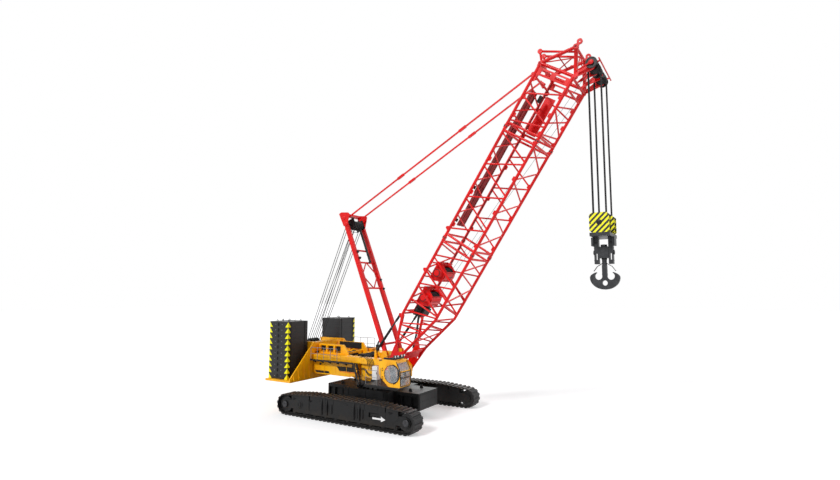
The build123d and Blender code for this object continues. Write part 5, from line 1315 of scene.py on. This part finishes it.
def makePendants():
    s = staySet
    parts = []
    cap = lathe([(.075, 0), (.075, .02), (.055, .032), (.03, .034)], 20, "y")
    for point in (s["low"], s["high"]):
        for side in (-1, 1):
            turned = cap if side > 0 else cap.mirrored()
            parts.append(turned.moved(point[0], s["y"] + side * .031, point[1]).both())
    makePiece("stayCaps", parts, "hook", "stays")


makePendants()
print("stage: boom and hook")

# Softened edges on the CAD nodes that stay in sight
softSet = {"counterweights_right": .018, "counterweights_left": .018, "cab_shell": .016, "main_frame": .010,
           "side_tank": .012, "engine_house": .014, "counterweight_tray": .010, "rear_frame": .008,
           "ramshorn_hook": .030, "block_frame": .012, "block_cheeks": .008, "car_body": .014,
           "track_frame_right": .012, "track_frame_left": .012, "mast_legs": .008, "front_ears": .008,
           "boom_feet": .008, "white_locker": .012, "cab_seat": .030, "cab_platform": .006, "tip_plates": .006}


def welded(name):
    weld = cadNodes[name].modifiers.new("weld", "WELD")
    weld.merge_threshold = 0.0002
    return cadNodes[name].modifiers


for name, width in softSet.items():
    soft = welded(name).new("soft", "BEVEL")
    soft.width = width
    soft.segments = 2
    soft.limit_method = "ANGLE"
    soft.angle_limit = math.radians(32)
    soft.use_clamp_overlap = True
    soft.harden_normals = False

# Thicker lacing tubes: the nodes' faces move out along their normals
thickSet = {"boom_base_lacing": .010, "boom_insert_lacing": .010, "boom_top_lacing": .010, "tip_frame": .028}
for name, reach in thickSet.items():
    thick = welded(name).new("thick", "DISPLACE")
    thick.strength = reach
    thick.mid_level = 0.0
print("stage: softened edges")


# Studio: pale floor, soft light, white surroundings for camera, mirror and glass rays
studioSet = {"sky": 0.42, "floorHalf": 260.0, "floorHigh": -0.004, "floorLift": 0.34,
             "lamps": {"keyLamp": (2.0, (52, 0, -12), 12), "fillLamp": (0.75, (60, 0, 115), 30),
                       "backLamp": (0.5, (58, 0, 205), 30)}}


def sunLamp(name, power, turn, angle):
    data = bpy.data.lights.new(name, "SUN")
    data.energy = power
    data.angle = math.radians(angle)
    lamp = bpy.data.objects.new(name, data)
    lamp.rotation_euler = [math.radians(t) for t in turn]
    bpy.context.scene.collection.objects.link(lamp)


def floorFinish():
    sheet = Sheet("paleFloor")
    seen = sheet.rays("Is Camera Ray", "Is Glossy Ray")
    plain = sheet.node("ShaderNodeBsdfDiffuse", {}, {"Color": (0.80, 0.80, 0.81)})
    lift = studioSet["floorLift"] * seen
    glow = sheet.node("ShaderNodeEmission", {}, {"Color": (1.0, 1.0, 1.0), "Strength": lift})
    return sheet.close(sheet.node("ShaderNodeAddShader", {}, {0: plain, 1: glow}))


def makeFloor():
    half, z = studioSet["floorHalf"], studioSet["floorHigh"]
    mesh = bpy.data.meshes.new("studioFloor")
    corners = [(-half, -half, z), (half, -half, z), (half, half, z), (-half, half, z)]
    mesh.from_pydata(corners, [], [(0, 1, 2, 3)])
    mesh.materials.append(floorFinish())
    floor = bpy.data.objects.new("studioFloor", mesh)
    bpy.context.scene.collection.objects.link(floor)


def makeWorld():
    sheet = Sheet("studioWorld", world=True)
    seen = sheet.rays("Is Camera Ray", "Is Glossy Ray", "Is Transmission Ray")
    level = sheet.node("ShaderNodeMapRange", {}, {"Value": seen, "To Min": studioSet["sky"], "To Max": 1.0})
    sky = sheet.node("ShaderNodeBackground", {}, {"Color": (1.0, 1.0, 1.0), "Strength": level})
    bpy.context.scene.world = sheet.close(sky)


for name, (power, turn, angle) in studioSet["lamps"].items():
    sunLamp(name, power, turn, angle)
makeFloor()
makeWorld()
bpy.context.scene.view_settings.view_transform = "Standard"
print("stage: studio")
